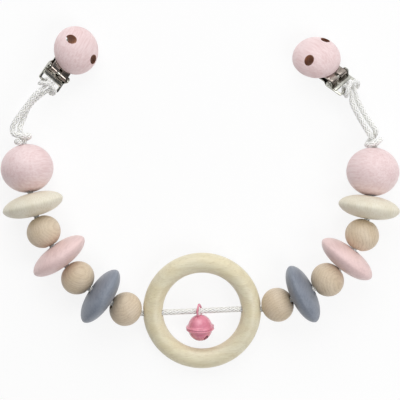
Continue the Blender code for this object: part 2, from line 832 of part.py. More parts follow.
def lead_strands(line, knot_top, towards, lead, twists):
    """Both strands of a lead, each from its knot to the hitch line that joins them."""
    half = CORD_RADIUS + STRAND_GAP / 2
    middle = [knot_top + towards * half, *[Vector(p) for p in lead]]
    middle.append((line[0] + line[-1]) / 2)
    last = (line[-1] - line[0]).normalized()
    standing, tail = [], []
    for i, (spot, twist) in enumerate(zip(middle, twists)):
        side = towards.lerp(last, i / (len(middle) - 1))
        run = middle[min(i + 1, len(middle) - 1)] - middle[max(i - 1, 0)]
        if 0 < i < len(middle) - 1:
            side = side - side.project(run)
        side = Matrix.Rotation(twist, 3, run) @ side.normalized()
        standing.append(spot - side * half)
        tail.append(spot + side * half)
    return standing, tail


def knot_line(foot, axis, towards):
    """The tail's turns round the standing strand, from the lead down to its cut end."""
    radius = 2 * CORD_RADIUS + STRAND_GAP
    sideways = axis.cross(towards)
    count = round(LOOP_POINTS * KNOT_TURNS)
    points = []
    for i in range(count + 1):
        share = i / count
        angle = 2 * math.pi * KNOT_TURNS * share**KNOT_TURN_EASE
        along = KNOT_RISE * (1 - share) ** KNOT_DROP_EASE
        around = towards * math.cos(angle) + sideways * math.sin(angle)
        points.append(foot + axis * along + around * radius)
    leaving = (points[-1] - points[-2]).normalized()
    for share in (0.5, 1):
        points.append(points[count] + (leaving * STUB_LENGTH - axis * STUB_DROP) * share)
    return points


def make_cord_end(clip, route, reach, lead, twists, hand):
    """The cord from the end bead's mouth to its cut end: lead, hitch, lead and knot."""
    foot = route.at(reach + KNOT_FOOT)
    top = route.at(reach + KNOT_FOOT + KNOT_RISE)
    axis = (top - foot).normalized()
    towards = Vector((0, 0, hand)).cross(axis).normalized()
    hitch = hitch_line(clip)[::hand]
    standing, tail = lead_strands(hitch, top, towards, lead, twists)
    knot = knot_line(foot, axis, towards)
    line = [route.at(reach), foot, *standing, *hitch[1:-1], *reversed(tail[1:]), *knot]
    dense = Route(smooth_line(line, 6))
    return ease(dense.between(0, dense.length, CORD_RADIUS / 2), clip)


def thickness(spots, clips):
    """The cord's radius at each spot. It is squeezed where a hitch grips a strap bar."""
    spots = np.array([tuple(spot) for spot in spots])
    radii = np.full(len(spots), CORD_RADIUS)
    for clip in clips:
        away = np.linalg.norm(spots - np.array(clip.point(STRAP_BAR_PLACE, 0, 0)), axis=1)
        share = np.clip((away - SQUEEZE_REACH) / SQUEEZE_FADE, 0, 1)
        share = share * share * (3 - 2 * share)
        radii = np.minimum(radii, CORD_RADIUS * (SQUEEZE + (1 - SQUEEZE) * share))
    return radii


def ease(points, clip):
    """Round a line's corners and push it clear of itself and of the clip's strap bar."""
    spots = np.array(points)
    steps = [PLATE_WIDTH * (i / 40 - 0.5) for i in range(41)]
    bar = np.array([clip.point(STRAP_BAR_PLACE, y, 0) for y in steps])
    web = np.array([clip.point(-WEB_WIDTH / 2, y, 0) for y in steps])
    bar_half = math.hypot(BAR_WIDTH, SHEET) / 2 + SEAT_GAP / 2
    web_half = SHEET / 2 + SEAT_GAP / 2
    index = np.arange(len(spots))
    between = np.abs(index[:, None] - index[None])
    for _ in range(EASE_ROUNDS):
        for strength in (EASE_SMOOTH, EASE_SWELL):
            spots[1:-1] += strength * ((spots[:-2] + spots[2:]) / 2 - spots[1:-1])
        thick = thickness(spots, [clip])[:, None]
        clear = thick + thick.T + STRAND_GAP
        push = pushed(spots, spots, clear, between < math.pi * clear / CORD_RADIUS) / 2
        push += pushed(spots, bar, bar_half + thick) + pushed(spots, web, web_half + thick)
        push[:EASE_PINNED] = 0
        spots += push
        spots[:EASE_PINNED] = [tuple(p) for p in points[:EASE_PINNED]]
    return [Vector(spot) for spot in spots.tolist()]


def pushed(spots, others, clear, near=False):
    """How far each spot has to move to be this clear of all the others."""
    offset = spots[:, None] - others[None]
    distance = np.linalg.norm(offset, axis=2)
    distance = np.where(near, clear, np.maximum(distance, SEAT_GAP))
    lack = np.maximum(clear - distance, 0)
    worst = lack.argmax(axis=1)
    rows = np.arange(len(spots))
    share = lack[rows, worst] / distance[rows, worst]
    return offset[rows, worst] * share[:, None]


def make_cord(group, clips, routes, reaches):
    """One unbroken cord, from the left cut end through everything to the right one."""
    leads = [(LEFT_LEAD, LEFT_TWISTS, LEFT_KNOT_HAND), (RIGHT_LEAD, RIGHT_TWISTS, RIGHT_KNOT_HAND)]
    ends = []
    for clip, route, reach, lead in zip(clips, routes, reaches, leads):
        ends.append(make_cord_end(clip, route, reach, *lead))
    threads = []
    for route, reach in zip(routes, reaches):
        threads.append(route.between(0, reach, CORD_RADIUS / 2)[:-1])
    line = [*reversed(ends[0]), *reversed(threads[0]), *threads[1][1:], *ends[1]]
    points = thin(Route(line))
    cord = wire(
        "cord", points, CORD_RADIUS, group, Matrix.Identity(4), "cord", CORD_SIDES_RESOLUTION
    )
    for point, radius in zip(cord.data.splines[0].points, thickness(points, clips)):
        point.radius = radius / CORD_RADIUS
    measure_cord(points, clips)


def thin(route):
    """Points along a route, close together where it bends and further apart elsewhere."""
    fine = route.between(0, route.length, CORD_RADIUS / 2)
    kept = [fine[0]]
    last = 0
    for i in range(2, len(fine)):
        chord = fine[i] - fine[last]
        inner = [point - fine[last] for point in fine[last + 1 : i]]
        sag = max((offset - offset.project(chord)).length for offset in inner)
        if sag > CORD_SAG or chord.length > CORD_STEP:
            kept.append(fine[i - 1])
            last = i - 1
    return [*kept, fine[-1]]


def measure_cord(points, clips):
    """Print the cord's length, its number of points and its least gap to itself."""
    route = Route(points)
    fine = route.between(0, route.length, CORD_RADIUS / 2)
    apart = math.ceil(math.pi * (CORD_RADIUS + STRAND_GAP / 2) * len(fine) / route.length)
    thick = thickness(fine, clips)
    spots = np.array([tuple(spot) for spot in fine])
    rows, columns = np.triu_indices(len(spots), apart)
    gaps = np.linalg.norm(spots[rows] - spots[columns], axis=1) - thick[rows] - thick[columns]
    print(f"cord: {route.length:.4f} m in {len(points)} points,"
          f" least gap to itself {gaps.min() * 1000:.2f} mm")


def main():
    clear_scene()
    group = collection("pram_chain_toy")
    tools = collection("tools")
    middle, along = ring_line()
    hole = along * (RING_OUTER_RADIUS - 2 * RING_TUBE_RADIUS)
    routes = [
        Route(smooth_line([middle, middle - hole / 2, middle - hole, *LEFT_ROUTE])),
        Route(smooth_line([middle, middle + hole / 2, middle + hole, *RIGHT_ROUTE])),
    ]
    reaches = []
    for side, route, play in zip(("left", "right"), routes, (LEFT_PLAY, RIGHT_PLAY)):
        reaches.append(make_beads(side, route, RING_OUTER_RADIUS, play, group))
    make_ring(group, tools)
    make_bell(group, tools)
    clips = [
        Clip("left", LEFT_WEB, LEFT_HEADING, LEFT_PITCH, LEFT_ROLL, LEFT_BUTTON_TURN),
        Clip("right", RIGHT_WEB, RIGHT_HEADING, RIGHT_PITCH, RIGHT_ROLL, RIGHT_BUTTON_TURN),
    ]
    for clip in clips:
        make_clip(clip, group, tools)
    make_cord(group, clips, routes, reaches)


if __name__ == "__main__":
    main()
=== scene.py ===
"""The looks of a pram chain toy: turned wooden beads, a grasping ring and a jingle bell on
one braided cord, which is hitched at each end to a nickel-plated clip with a domed button.
Metres, +Z up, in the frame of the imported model.
"""
import json
import math

import bmesh
import bpy
import numpy as np
from bpy.props import FloatProperty, FloatVectorProperty, IntProperty, PointerProperty
from mathutils import Matrix, Vector


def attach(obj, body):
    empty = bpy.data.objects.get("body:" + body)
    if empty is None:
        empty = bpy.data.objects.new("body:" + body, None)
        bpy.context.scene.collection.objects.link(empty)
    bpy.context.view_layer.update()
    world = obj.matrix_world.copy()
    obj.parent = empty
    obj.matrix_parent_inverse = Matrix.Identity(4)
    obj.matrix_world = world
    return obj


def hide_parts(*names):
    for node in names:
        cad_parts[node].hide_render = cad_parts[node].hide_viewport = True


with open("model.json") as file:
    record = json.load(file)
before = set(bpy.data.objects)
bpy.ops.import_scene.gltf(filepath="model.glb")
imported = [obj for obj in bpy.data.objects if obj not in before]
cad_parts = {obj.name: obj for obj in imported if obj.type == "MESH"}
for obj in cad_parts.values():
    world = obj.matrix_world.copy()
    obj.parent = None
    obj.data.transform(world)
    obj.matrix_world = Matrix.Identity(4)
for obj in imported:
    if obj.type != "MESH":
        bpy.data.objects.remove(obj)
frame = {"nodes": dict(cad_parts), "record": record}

bl_info = {
    "name": "Pram chain toy looks",
    "version": (1, 0, 0),
    "blender": (4, 5, 0),
    "location": "View3D > Sidebar > Toy",
    "description": "Builds the detailed pieces, materials and stage of a pram chain toy",
    "category": "Object",
}

MM = 0.001
UP = Vector((0, 0, 1))
ACROSS = Matrix.Rotation(math.pi / 2, 4, "X")  # stands a flat shape up, facing along Y
SHARP = math.radians(38)  # the least angle of an edge that isn't shaded smooth
MERGE = 0.01 * MM
SEAT_GAP = 0.3 * MM  # between pieces that touch in the real toy

# Cord
CORD_RADIUS = 1.70 * MM
CORD_STEP = 0.30 * MM
CORD_SIDES = 40
STRAND_UNDER = 0.35  # height of a strand that another one crosses over, as a share
YARNS_IN_STRAND = 5
MELTED_LENGTH = 0.26 * MM  # of its far end, and then the melting fades out
MELTED_FADE = 1.3 * MM
CUT_END = 0.62  # radius of its very ends, as a share
# In a hitch it is squeezed to a share of its thickness, near the strap bar
SQUEEZE = 0.72
SQUEEZE_REACH = 5.0 * MM
SQUEEZE_FADE = 4.0 * MM

# Beads: radius, half height, and the powers of the outline across and along its axis
BORE_RADIUS = 2.8 * MM
MOUTH_RADIUS = 3.1 * MM
MOUTH_DEPTH = 0.6 * MM
BEAD_SHAPES = {
    "round": (10.0 * MM, 9.4 * MM, 2, 2),
    "lens": (18.0 * MM, 6.8 * MM, 2.4, 1.75),
    "big": (15.4 * MM, 14.2 * MM, 2, 2),
}

# Ring
RING_TUBE_RADIUS = 5.85 * MM
RING_MIDDLE_RADIUS = 28.85 * MM
RING_SEED = 7  # of its grain

# Bell
BELL_RADIUS = 7.25 * MM
BELL_HALF_HEIGHT = 7.9 * MM
BELL_WALL = 0.7 * MM
BELL_STEPS = 128
BAND_RADIUS = 8.3 * MM
BAND_HALF_HEIGHT = 1.8 * MM
BAND_EDGE_RADIUS = 0.55 * MM
BAND_EDGE_HEIGHT = 0.62 * MM
BAND_EDGE_TURN = (math.pi * 0.6, -math.pi * 0.28)  # where its round edge starts and ends
BAND_INSET = 0.28 * MM
CROWN_FOOT = 1.25 * BAND_HALF_HEIGHT
NECK = ((0.06 * MM, 0.32 * MM), (0.32 * MM, 0.62 * MM))  # out and down from the crown's foot
# Waves in the band's edge: depth, number round the bell and where they start
BAND_WAVES = ((0.10 * MM, 6, 0), (0.06 * MM, 11, 1))
WAVED_FROM = 0.9 * BELL_RADIUS  # so that the inside stays even
# The slit is turned from the cord's direction, so that one of its ends shows from above
SLIT_TURN = math.radians(50)
SLIT_LENGTH = 10.2 * MM
SLIT_WIDTH = 1.2 * MM
SLIT_END_RADIUS = 1.38 * MM
# The staple hangs askew on the cord
STAPLE_TURN = math.radians(-24)
STAPLE_INNER_RADIUS = 2.1 * MM
STAPLE_WIRE_RADIUS = 0.6 * MM
CORD_TO_CROWN = 2.4 * MM
# Its bend as shares of a half circle: how wide, how much narrower and taller at the top, and
# how much its feet draw in
STAPLE_SPREAD = 1.12
STAPLE_PINCH = 0.34
STAPLE_STRETCH = 0.42
STAPLE_DRAW_IN = 0.12

# Button
BUTTON_RADIUS = 14.2 * MM
BUTTON_HEIGHT = 10.6 * MM
BUTTON_RIM = 1.1 * MM
BUTTON_EDGE_RADIUS = 0.5 * MM
VENT_RADIUS = 2.75 * MM
VENT_PITCH_RADIUS = 9.2 * MM
BARE_REACH = 1.02 * VENT_RADIUS  # from a hole's middle, where its wall is bare wood
WALL_LEAN = 0.2  # the most that a wall's normal rises or falls
# How far each button's vents are turned about its middle, and the seed of its grain
BUTTONS = {"left": (0, 6), "right": (math.radians(10), 13)}

# Clip metalwork, from the middle of its web
SHEET = 0.9 * MM
STAMPED_EDGE = 0.14 * MM  # radius of the base's edges
ROLLED_EDGE = 0.10 * MM  # of the lever's
FINE_EDGE = 0.05 * MM  # of the web's and the strap bar's, and of the bell's slit
PLATE_WIDTH = 15.5 * MM
PLATE_CORNER = 1.3 * MM
TAPER = 2.2  # length of the plate's taper over the width that it takes off a side
WEB_WIDTH = 2.4 * MM
WEB_RISE = 0.6 * MM
# The web's section, as shares of its width and its height
WEB_SECTION = (
    (-0.5, 0), (-0.5, 0.7), (-0.4, 0.96), (-0.25, 1), (0.25, 1), (0.4, 0.94), (0.5, 0.6), (0.5, 0)
)
SLOT_LENGTH = 3.0 * MM
SLOT_SIDE = 1.5 * MM
SLOT_CORNER = 0.5 * MM
BAR_WIDTH = 1.2 * MM
PIVOT_FROM_WEB = 3.7 * MM
PIVOT_HEIGHT = 2.7 * MM
PIN_RADIUS = 1.0 * MM
PIN_HEAD_RADIUS = 1.6 * MM
# The pin's domed head with its dimple: shares of its radius, and heights over its flat side
PIN_HEAD = (
    (0, 0.10 * MM), (0.28, 0.14 * MM), (0.42, 0.42 * MM), (0.62, 0.52 * MM), (0.88, 0.36 * MM),
    (1, 0.12 * MM), (0.98, 0),
)
EAR_RADIUS = 2.0 * MM
EAR_FOOT = 0.5 * MM  # how far its foot stands out past its round
BARREL_RADIUS = 1.9 * MM
BARREL_END = math.radians(362)  # where the rolled sheet ends, round the pin
KNUCKLE_NOTCH = 1.1 * MM  # half the gap between the barrel's two knuckles
KNUCKLE_LEAD = 0.5 * MM  # from the barrel to where a knuckle's sheet ends
KNUCKLE_LAP = 0.4 * MM  # of the plate over it
NOTCH_CLEARANCE = 0.4 * MM  # from the barrel to the bottom of the notch
NOTCH_TAPER = 0.8  # width of that bottom, as a share
BUTTON_FROM_WEB = 20.3 * MM
NOSE_FROM_WEB = 28.3 * MM
NOSE_WIDTH = 12.4 * MM
LIP_HEIGHT = 2.2 * MM
LEVER_WIDTH = 12.4 * MM
LEVER_TIP = 0.7  # radius of the tip's corners over half the lever's width
PAD_LENGTH = 7.5 * MM
TOOTH_PITCH = 1.5 * MM
TOOTH_DEPTH = 0.9 * MM
RIVET_RADIUS = 1.4 * MM
RIVET_DEPTH = 5.0 * MM
LEVER_TOP = PIVOT_HEIGHT + BARREL_RADIUS

# Stage
BEADS_HEIGHT = 15 * MM  # where the view's width is measured
VIEW_MIDDLE = (0, -1.4 * MM)
SENSOR_WIDTH = 36  # in millimetres, as the camera has it
CLIP_START = 10 * MM
FLOOR_REACH = 6.0
FLOOR_WHITE = 0.86  # how much of the floor's look is plain white, over its shadows
WALLS_DIM = (0.14, 0.14, 0.145, 1)
WALLS_BRIGHT = (0.95, 0.95, 0.95, 1)
KEY_SPOT = (-0.06, 0.64, 0.74)
KEY_SIZE = 0.8
FILL_SPOT = (0.46, -0.34, 0.76)
FILL_SIZE = 0.6

# The cord's route in millimetres, from its left cut end to its right one
ROUTE = [
    (-104.33, 32.09, 21.75), (-106.95, 32.57, 16.43), (-107.25, 32.66, 14.76),
    (-106.9, 32.84, 13.12), (-105.93, 33.24, 11.79), (-104.56, 33.83, 11), (-103, 34.48, 10.88),
    (-101.54, 35.11, 11.45), (-100.42, 35.64, 12.6), (-99.85, 36.02, 14.14), (-99.92, 36.21, 15.81),
    (-100.63, 36.23, 17.34), (-101.87, 36.19, 18.49), (-103.45, 36.21, 19.08),
    (-105.13, 36.33, 19.07), (-106.71, 36.49, 18.49), (-108.01, 36.84, 17.47),
    (-108.98, 37.56, 16.28), (-109.34, 38.1, 15.74), (-109.59, 38.8, 15.35), (-109.68, 39.63, 15.2),
    (-109.42, 41.27, 15.51), (-108.5, 43.54, 16.21), (-106.61, 46.31, 16.73),
    (-101.97, 52.36, 17.4), (-96.74, 58.94, 18.67), (-94.45, 61.45, 18.68), (-90.02, 65.32, 17.83),
    (-88.52, 67.29, 17.24), (-88.21, 67.98, 16.88), (-88.19, 68.62, 16.34), (-88.55, 69.02, 15.7),
    (-89.63, 69.29, 14.42), (-90.31, 69.23, 13.92), (-91.08, 68.98, 13.68), (-91.8, 68.56, 13.78),
    (-92.92, 67.61, 14.61), (-93.32, 67.18, 15.23), (-93.57, 66.86, 15.97), (-93.64, 66.66, 16.79),
    (-93.25, 66.63, 18.43), (-92.26, 66.75, 19.8), (-90.83, 66.73, 20.67), (-90.01, 66.62, 20.86),
    (-88.4, 66.16, 20.7), (-87.02, 65.4, 20.07), (-85.44, 63.8, 18.9), (-84.9, 62.55, 17.9),
    (-84.89, 61.96, 17.29), (-85.08, 61.46, 16.63), (-85.88, 60.85, 15.27), (-86.92, 60.83, 13.94),
    (-87.83, 61.44, 12.66), (-88.1, 62, 12.09), (-88.21, 62.7, 11.63), (-88.01, 64.29, 11.1),
    (-87.77, 65.1, 11.07), (-87.45, 65.86, 11.25), (-87.07, 66.39, 11.76), (-86.26, 66.73, 13.21),
    (-85.93, 66.68, 13.98), (-85.76, 66.42, 14.76), (-85.84, 65.89, 15.39), (-86.15, 65.21, 15.78),
    (-87.18, 63.9, 16.01), (-89.22, 62.39, 15.78), (-94.28, 59.35, 15.01), (-97.5, 56.69, 14.3),
    (-99.74, 54.2, 13.68), (-101.1, 52.06, 13.45), (-102.42, 48.93, 13.51), (-103.91, 44.97, 13.91),
    (-105.12, 41.9, 14.7), (-105.37, 40.27, 15.08), (-105.13, 38.59, 15.16),
    (-103.14, 32.99, 14.95), (-102.21, 26.26, 15.07), (-101.35, 18.66, 15.36),
    (-100.28, 11.13, 16.17), (-99.14, 3.63, 17.21), (-97.62, -3.82, 18.06), (-95.89, -9.51, 18.29),
    (-93.32, -15.8, 18.18), (-89.82, -22.61, 18.08), (-85.72, -29.07, 18.03), (-81.25, -35.28, 18),
    (-76.53, -41.31, 18.05), (-71.35, -46.94, 18.1), (-65.63, -52.02, 18.36),
    (-60.9, -55.63, 18.38), (-56.71, -58.48, 17.81), (-51.05, -61.86, 16.16),
    (-44.54, -65.18, 13.9), (-40.01, -66.96, 12.37), (-36.86, -67.68, 11.3),
    (-33.55, -68.03, 10.64), (-29.3, -68.01, 10.45), (-21.67, -67.5, 10.6), (-14.02, -67.17, 10.6),
    (-6.37, -66.83, 10.6), (1.27, -66.5, 10.6), (8.92, -66.16, 10.6), (16.57, -65.81, 10.6),
    (24.21, -65.5, 10.6), (31.86, -65.72, 10.45), (36.1, -65.61, 10.69), (38.57, -65.26, 11.24),
    (42.38, -64.14, 12.74), (49.12, -61.37, 15.06), (55.79, -58.28, 17.18), (60.28, -56.06, 18.14),
    (65.62, -53.45, 18.43), (71.61, -50.22, 18.2), (75.08, -47.77, 18.1), (78.77, -44.26, 18.07),
    (83.63, -38.35, 18.01), (88.35, -32.32, 18.01), (92.33, -26.81, 18.06), (94.37, -23.08, 18.1),
    (96.12, -18.29, 18.25), (97.6, -11.66, 18.46), (98.75, -4.97, 18.1), (99.71, 2.55, 17.01),
    (100.5, 10.07, 15.84), (101.29, 17.65, 15.19), (102.01, 25.27, 15.04), (102.18, 30.37, 14.96),
    (101.8, 32.02, 14.97), (99.15, 37.34, 15.19), (96.4, 41.62, 15.53), (93.31, 46.64, 16.32),
    (89.7, 53.25, 17.69), (88.71, 55.54, 18.17), (88.45, 58.03, 18.6), (88.08, 60.53, 18.86),
    (86.99, 62.82, 19.09), (85.98, 64.16, 18.96), (85.39, 64.68, 18.65), (84.79, 64.96, 18.13),
    (84.3, 64.91, 17.46), (84, 64.55, 16.76), (83.8, 63.41, 15.54), (83.84, 62.68, 15.12),
    (84.06, 61.88, 15.05), (84.71, 60.44, 15.63), (84.98, 59.85, 16.18), (85.13, 59.43, 16.9),
    (85.19, 59.21, 17.71), (85.22, 59.37, 19.39), (85.38, 60.17, 20.86), (85.62, 61.46, 21.91),
    (85.98, 63.05, 22.35), (86.6, 64.6, 22.15), (87.53, 65.89, 21.56), (88.72, 66.88, 20.87),
    (90.08, 67.5, 20.05), (90.75, 67.58, 19.54), (91.36, 67.46, 18.96), (92.17, 66.75, 17.67),
    (92.4, 65.73, 16.34), (92.06, 64.78, 15), (91.64, 64.45, 14.35), (91.06, 64.27, 13.76),
    (90.37, 64.26, 13.27), (88.85, 64.67, 12.68), (88.1, 65.04, 12.64), (87.44, 65.5, 12.87),
    (87.02, 65.98, 13.39), (86.74, 66.8, 14.84), (86.76, 67.04, 15.65), (87.05, 67.05, 16.43),
    (87.58, 66.82, 17.04), (88.21, 66.4, 17.43), (88.81, 65.83, 17.6), (89.71, 64.4, 17.56),
    (92.3, 56.41, 16.24), (94.61, 51.95, 15.36), (97.23, 47.59, 15.01), (100.09, 43.38, 15.13),
    (102.03, 40.59, 15.23), (102.44, 39.89, 15), (102.75, 39.21, 14.6), (102.96, 38.01, 13.44),
    (102.56, 36.91, 12.22), (101.69, 35.77, 11.32), (100.63, 34.51, 10.95), (99.55, 33.24, 11.21),
    (98.56, 32.18, 12.07), (97.89, 31.4, 13.41), (97.75, 30.95, 15.03), (98.19, 30.85, 16.65),
    (99.17, 31.07, 18.01), (100.53, 31.56, 18.87), (102.08, 32.2, 19.08), (103.56, 32.87, 18.61),
    (104.72, 33.45, 17.52), (105.36, 33.82, 16), (105.39, 33.85, 14.31), (104.81, 33.21, 11.92),
    (103.59, 31.81, 8.09),
]

SIDES = ("left", "right")
# The beads from the ring outwards: piece, shape, finish, and how the grain lies in the left one
# and in the right one, as turns about two axes in degrees and a seed
CHAIN = [
    ("round_bead_3", "round", "beech", (60, 65, 5), (90, 8, 14)),
    ("grey_lens_bead", "lens", "grey", (90, 35, 23), (90, -30, 24)),
    ("round_bead_2", "round", "beech", (25, 75, 8), (80, 50, 2)),
    ("pink_lens_bead", "lens", "pink", (90, 35, 23), (90, -30, 24)),
    ("round_bead_1", "round", "beech", (72, 20, 3), (40, 30, 11)),
    ("cream_lens_bead", "lens", "cream", (8, 0, 24), (8, 0, 25)),
    ("big_bead", "big", "blush", (90, 35, 17), (90, -30, 18)),
]


class Wire:
    """A socket of a shader tree. Arithmetic with it adds the nodes that work it out."""

    def __init__(self, tree, socket=None):
        self.tree = tree
        self.socket = socket

    def node(self, kind, output=0, settings=None, **inputs):
        """Add a node with its settings and its inputs. Gives one of its outputs, which goes by
        its name or its number."""
        made = self.tree.nodes.new("ShaderNode" + kind)
        for name, value in (settings or {}).items():
            setattr(made, name, value)
        self.feed(made, **inputs)
        return Wire(self.tree, made.outputs[output])

    def feed(self, node, **inputs):
        """Link wires to a node's sockets, or set plain values on them. A socket is named as on
        the node, or by its number as n0, n1, ..."""
        for name, value in inputs.items():
            numbered = name[0] == "n" and name[1:].isdigit()
            socket = node.inputs[int(name[1:]) if numbered else name.replace("_", " ")]
            if isinstance(value, Wire):
                self.tree.links.new(value.socket, socket)
            else:
                socket.default_value = value

    def math(self, operation, *others, clamp=False):
        """A Math node that works on this value and on any others."""
        settings = {"operation": operation, "use_clamp": clamp}
        values = {f"n{i}": value for i, value in enumerate((self, *others))}
        return self.node("Math", "Value", settings, **values)

    def reflected(self, operation, other):
        """A Math node that works on another value and on this one, in that order."""
        return self.node("Math", "Value", {"operation": operation}, n0=other, n1=self)

    def __add__(self, other):
        return self.math("ADD", other)

    def __radd__(self, other):
        return self.reflected("ADD", other)

    def __sub__(self, other):
        return self.math("SUBTRACT", other)

    def __rsub__(self, other):
        return self.reflected("SUBTRACT", other)

    def __mul__(self, other):
        return self.math("MULTIPLY", other)

    def __rmul__(self, other):
        return self.reflected("MULTIPLY", other)

    def __truediv__(self, other):
        return self.math("DIVIDE", other)

    def __rtruediv__(self, other):
        return self.reflected("DIVIDE", other)

    def clamp(self):
        return self.math("ADD", 0, clamp=True)

    def mix(self, first, second):
        """The first colour where this is 0 and the second where it is 1. The node's sockets go
        by number, because their names repeat."""
        return self.node("Mix", 2, {"data_type": "RGBA"}, n0=self, n6=first, n7=second)

    def ramp(self, low, high):
        """0 below low, 1 above high, and smooth in between."""
        settings = {"interpolation_type": "SMOOTHSTEP"}
        return self.node("MapRange", "Result", settings, Value=self, From_Min=low, From_Max=high)

    def noise(self, vector, scale, detail, roughness, output="Fac"):
        inputs = {"Vector": vector, "Scale": scale, "Detail": detail, "Roughness": roughness}
        return self.node("TexNoise", output, **inputs)

    def scaled(self, vector, x, y, z):
        return self.node("VectorMath", "Vector", {"operation": "MULTIPLY"}, n0=vector, n1=(x, y, z))

    def bump(self, height, distance, strength):
        return self.node("Bump", Height=height, Distance=distance, Strength=strength)


def colour(red, green, blue):
    """A colour given as it is seen, from 0 to 255, in the linear form that shaders use."""
    def linear(value):
        value /= 255
        return value / 12.92 if value <= 0.04045 else ((value + 0.055) / 1.055) ** 2.4

    return (linear(red), linear(green), linear(blue), 1)


def new_material(name, preview):
    """A material with one Principled shader. Gives it, a wire of its tree and the shader."""
    made = bpy.data.materials.new(name)
    made.use_nodes = True
    made.diffuse_color = preview
    tree = made.node_tree
    return made, Wire(tree), tree.nodes["Principled BSDF"]


# Materials


def grain_place(wire):
    """Where a point lies in the wood that the piece was turned from, in millimetres."""
    return wire.node("Attribute", "Vector", {"attribute_name": "grain"})


def make_wood(name, light, dark, pale, rings, fibres, spacing, roughness, coat):
    """Bare or clear-coated wood: growth rings, fibres along the grain and small rays."""
    made, wire, shader = new_material(name, light)
    place = grain_place(wire)
    drift = wire.noise(wire.scaled(place, 1, 1, 0.25), 0.16, 3, 0.55, output="Color")
    warped = wire.node(
        "VectorMath", "Vector", {"operation": "MULTIPLY_ADD"}, n0=drift, n1=(5, 5, 5), n2=place
    )
    grown = wire.node(
        "TexWave", "Fac",
        {"wave_type": "RINGS", "rings_direction": "Z", "wave_profile": "SAW"},
        Vector=warped, Scale=0.314 / spacing, Distortion=0.6, Detail=2, Detail_Scale=0.4,
    )
    late = grown.ramp(0.25, 1.0)
    lines = wire.noise(wire.scaled(place, 1, 1, 0.06), 2.6, 3, 0.6)
    rays = wire.noise(wire.scaled(place, 0.6, 1.7, 0.3), 1.5, 1, 0.4).ramp(0.62, 0.72)
    patches = wire.noise(wire.scaled(place, 1, 1, 0.4), 0.11, 2, 0.5).ramp(0.3, 0.7)
    amount = late * rings + (lines - 0.4) * fibres + rays * 0.3
    wire.feed(
        shader, Base_Color=amount.clamp().mix(patches.mix(light, pale), dark),
        Roughness=lines * 0.12 + (roughness - 0.06),
        Normal=wire.bump(late * -0.5 + lines * 0.5, 0.06 * MM, 0.5),
        Coat_Weight=coat, Coat_Roughness=0.28,
    )
    return made


def make_lacquer(name, main, deep, worn, roughness):
    """Thin lacquer over wood: the grain only just shows through, and the colour varies."""
    made, wire, shader = new_material(name, main)
    place = grain_place(wire)
    fibres = wire.noise(wire.scaled(place, 1, 1, 0.07), 0.95, 4, 0.7)
    clouds = wire.noise(place, 0.09, 3, 0.5).ramp(0.3, 0.72)
    specks = wire.noise(place, 1.3, 2, 0.7).ramp(0.68, 0.78)
    amount = (clouds * 0.4 + (fibres - 0.46) * 2.6).clamp()
    orange_peel = wire.noise(place, 0.8, 2, 0.5)
    wire.feed(
        shader, Base_Color=(specks * 0.35).mix(amount.mix(main, deep), worn),
        Roughness=clouds * 0.08 + roughness,
        Normal=wire.bump(orange_peel + fibres * 0.7, 0.07 * MM, 0.4),
        Coat_Weight=0.15, Coat_Roughness=0.35,
    )
    return made


def make_stain(name, main, deep, pale):
    """A thin pale stain, through which fine straight grain lines show."""
    made, wire, shader = new_material(name, main)
    place = grain_place(wire)
    lines = wire.noise(wire.scaled(place, 1, 0.3, 0.014), 2.4, 4, 0.6)
    broad = wire.noise(wire.scaled(place, 1, 1, 0.15), 0.16, 2, 0.5).ramp(0.3, 0.7)
    streaks = lines.ramp(0.42, 0.66)
    wire.feed(
        shader, Base_Color=(streaks * 0.5).mix(broad.mix(pale, main), deep),
        Roughness=lines * 0.12 + 0.46, Normal=wire.bump(lines, 0.08 * MM, 0.5),
        Coat_Weight=0.1, Coat_Roughness=0.4,
    )
    return made


def make_enamel(name, main, deep, chipped):
    """Glossy dipped enamel, a little thicker and darker in places, with a soft peel."""
    made, wire, shader = new_material(name, main)
    place = wire.node("TexCoord", "Object")
    pooled = wire.noise(place, 210, 2, 0.5).ramp(0.35, 0.75)
    peel = wire.noise(place, 900, 2, 0.5)
    chips = wire.noise(place, 1500, 1, 0.3).ramp(0.80, 0.84)
    wire.feed(
        shader, Base_Color=chips.mix((pooled * 0.5).mix(main, deep), chipped),
        Roughness=peel * 0.1 + 0.2, Normal=wire.bump(peel + pooled, 0.06 * MM, 0.5),
        Coat_Weight=0.6, Coat_Roughness=0.12,
    )
    return made


def make_nickel(name, bright, dull, scuff_scale):
    """Tumbled nickel plate: fine scuffs, and a cloudy tone with duller patches."""
    made, wire, shader = new_material(name, bright)
    place = wire.node("TexCoord", "Object")
    clouds = wire.noise(place, 160, 3, 0.6).ramp(0.32, 0.7)
    scuffs = wire.noise(wire.scaled(place, 1, 6, 1), scuff_scale, 3, 0.7)
    wire.feed(
        shader, Base_Color=(clouds * 0.7).mix(bright, dull), Metallic=1.0,
        Roughness=scuffs * 0.10 + clouds * 0.05 + 0.06,
        Normal=wire.bump(scuffs, 0.02 * MM, 0.35),
    )
    return made


def make_plastic(name, main, deep, pale):
    """Milky moulded plastic with a fine spark-eroded texture."""
    made, wire, shader = new_material(name, main)
    place = wire.node("TexCoord", "Object")
    fine = wire.noise(place, 2600, 2, 0.6)
    tone = wire.noise(place, 300, 2, 0.5)
    wire.feed(
        shader, Base_Color=tone.mix(deep, pale), Roughness=fine * 0.2 + 0.45,
        Normal=wire.bump(fine, 0.02 * MM, 0.5),
    )
    return made


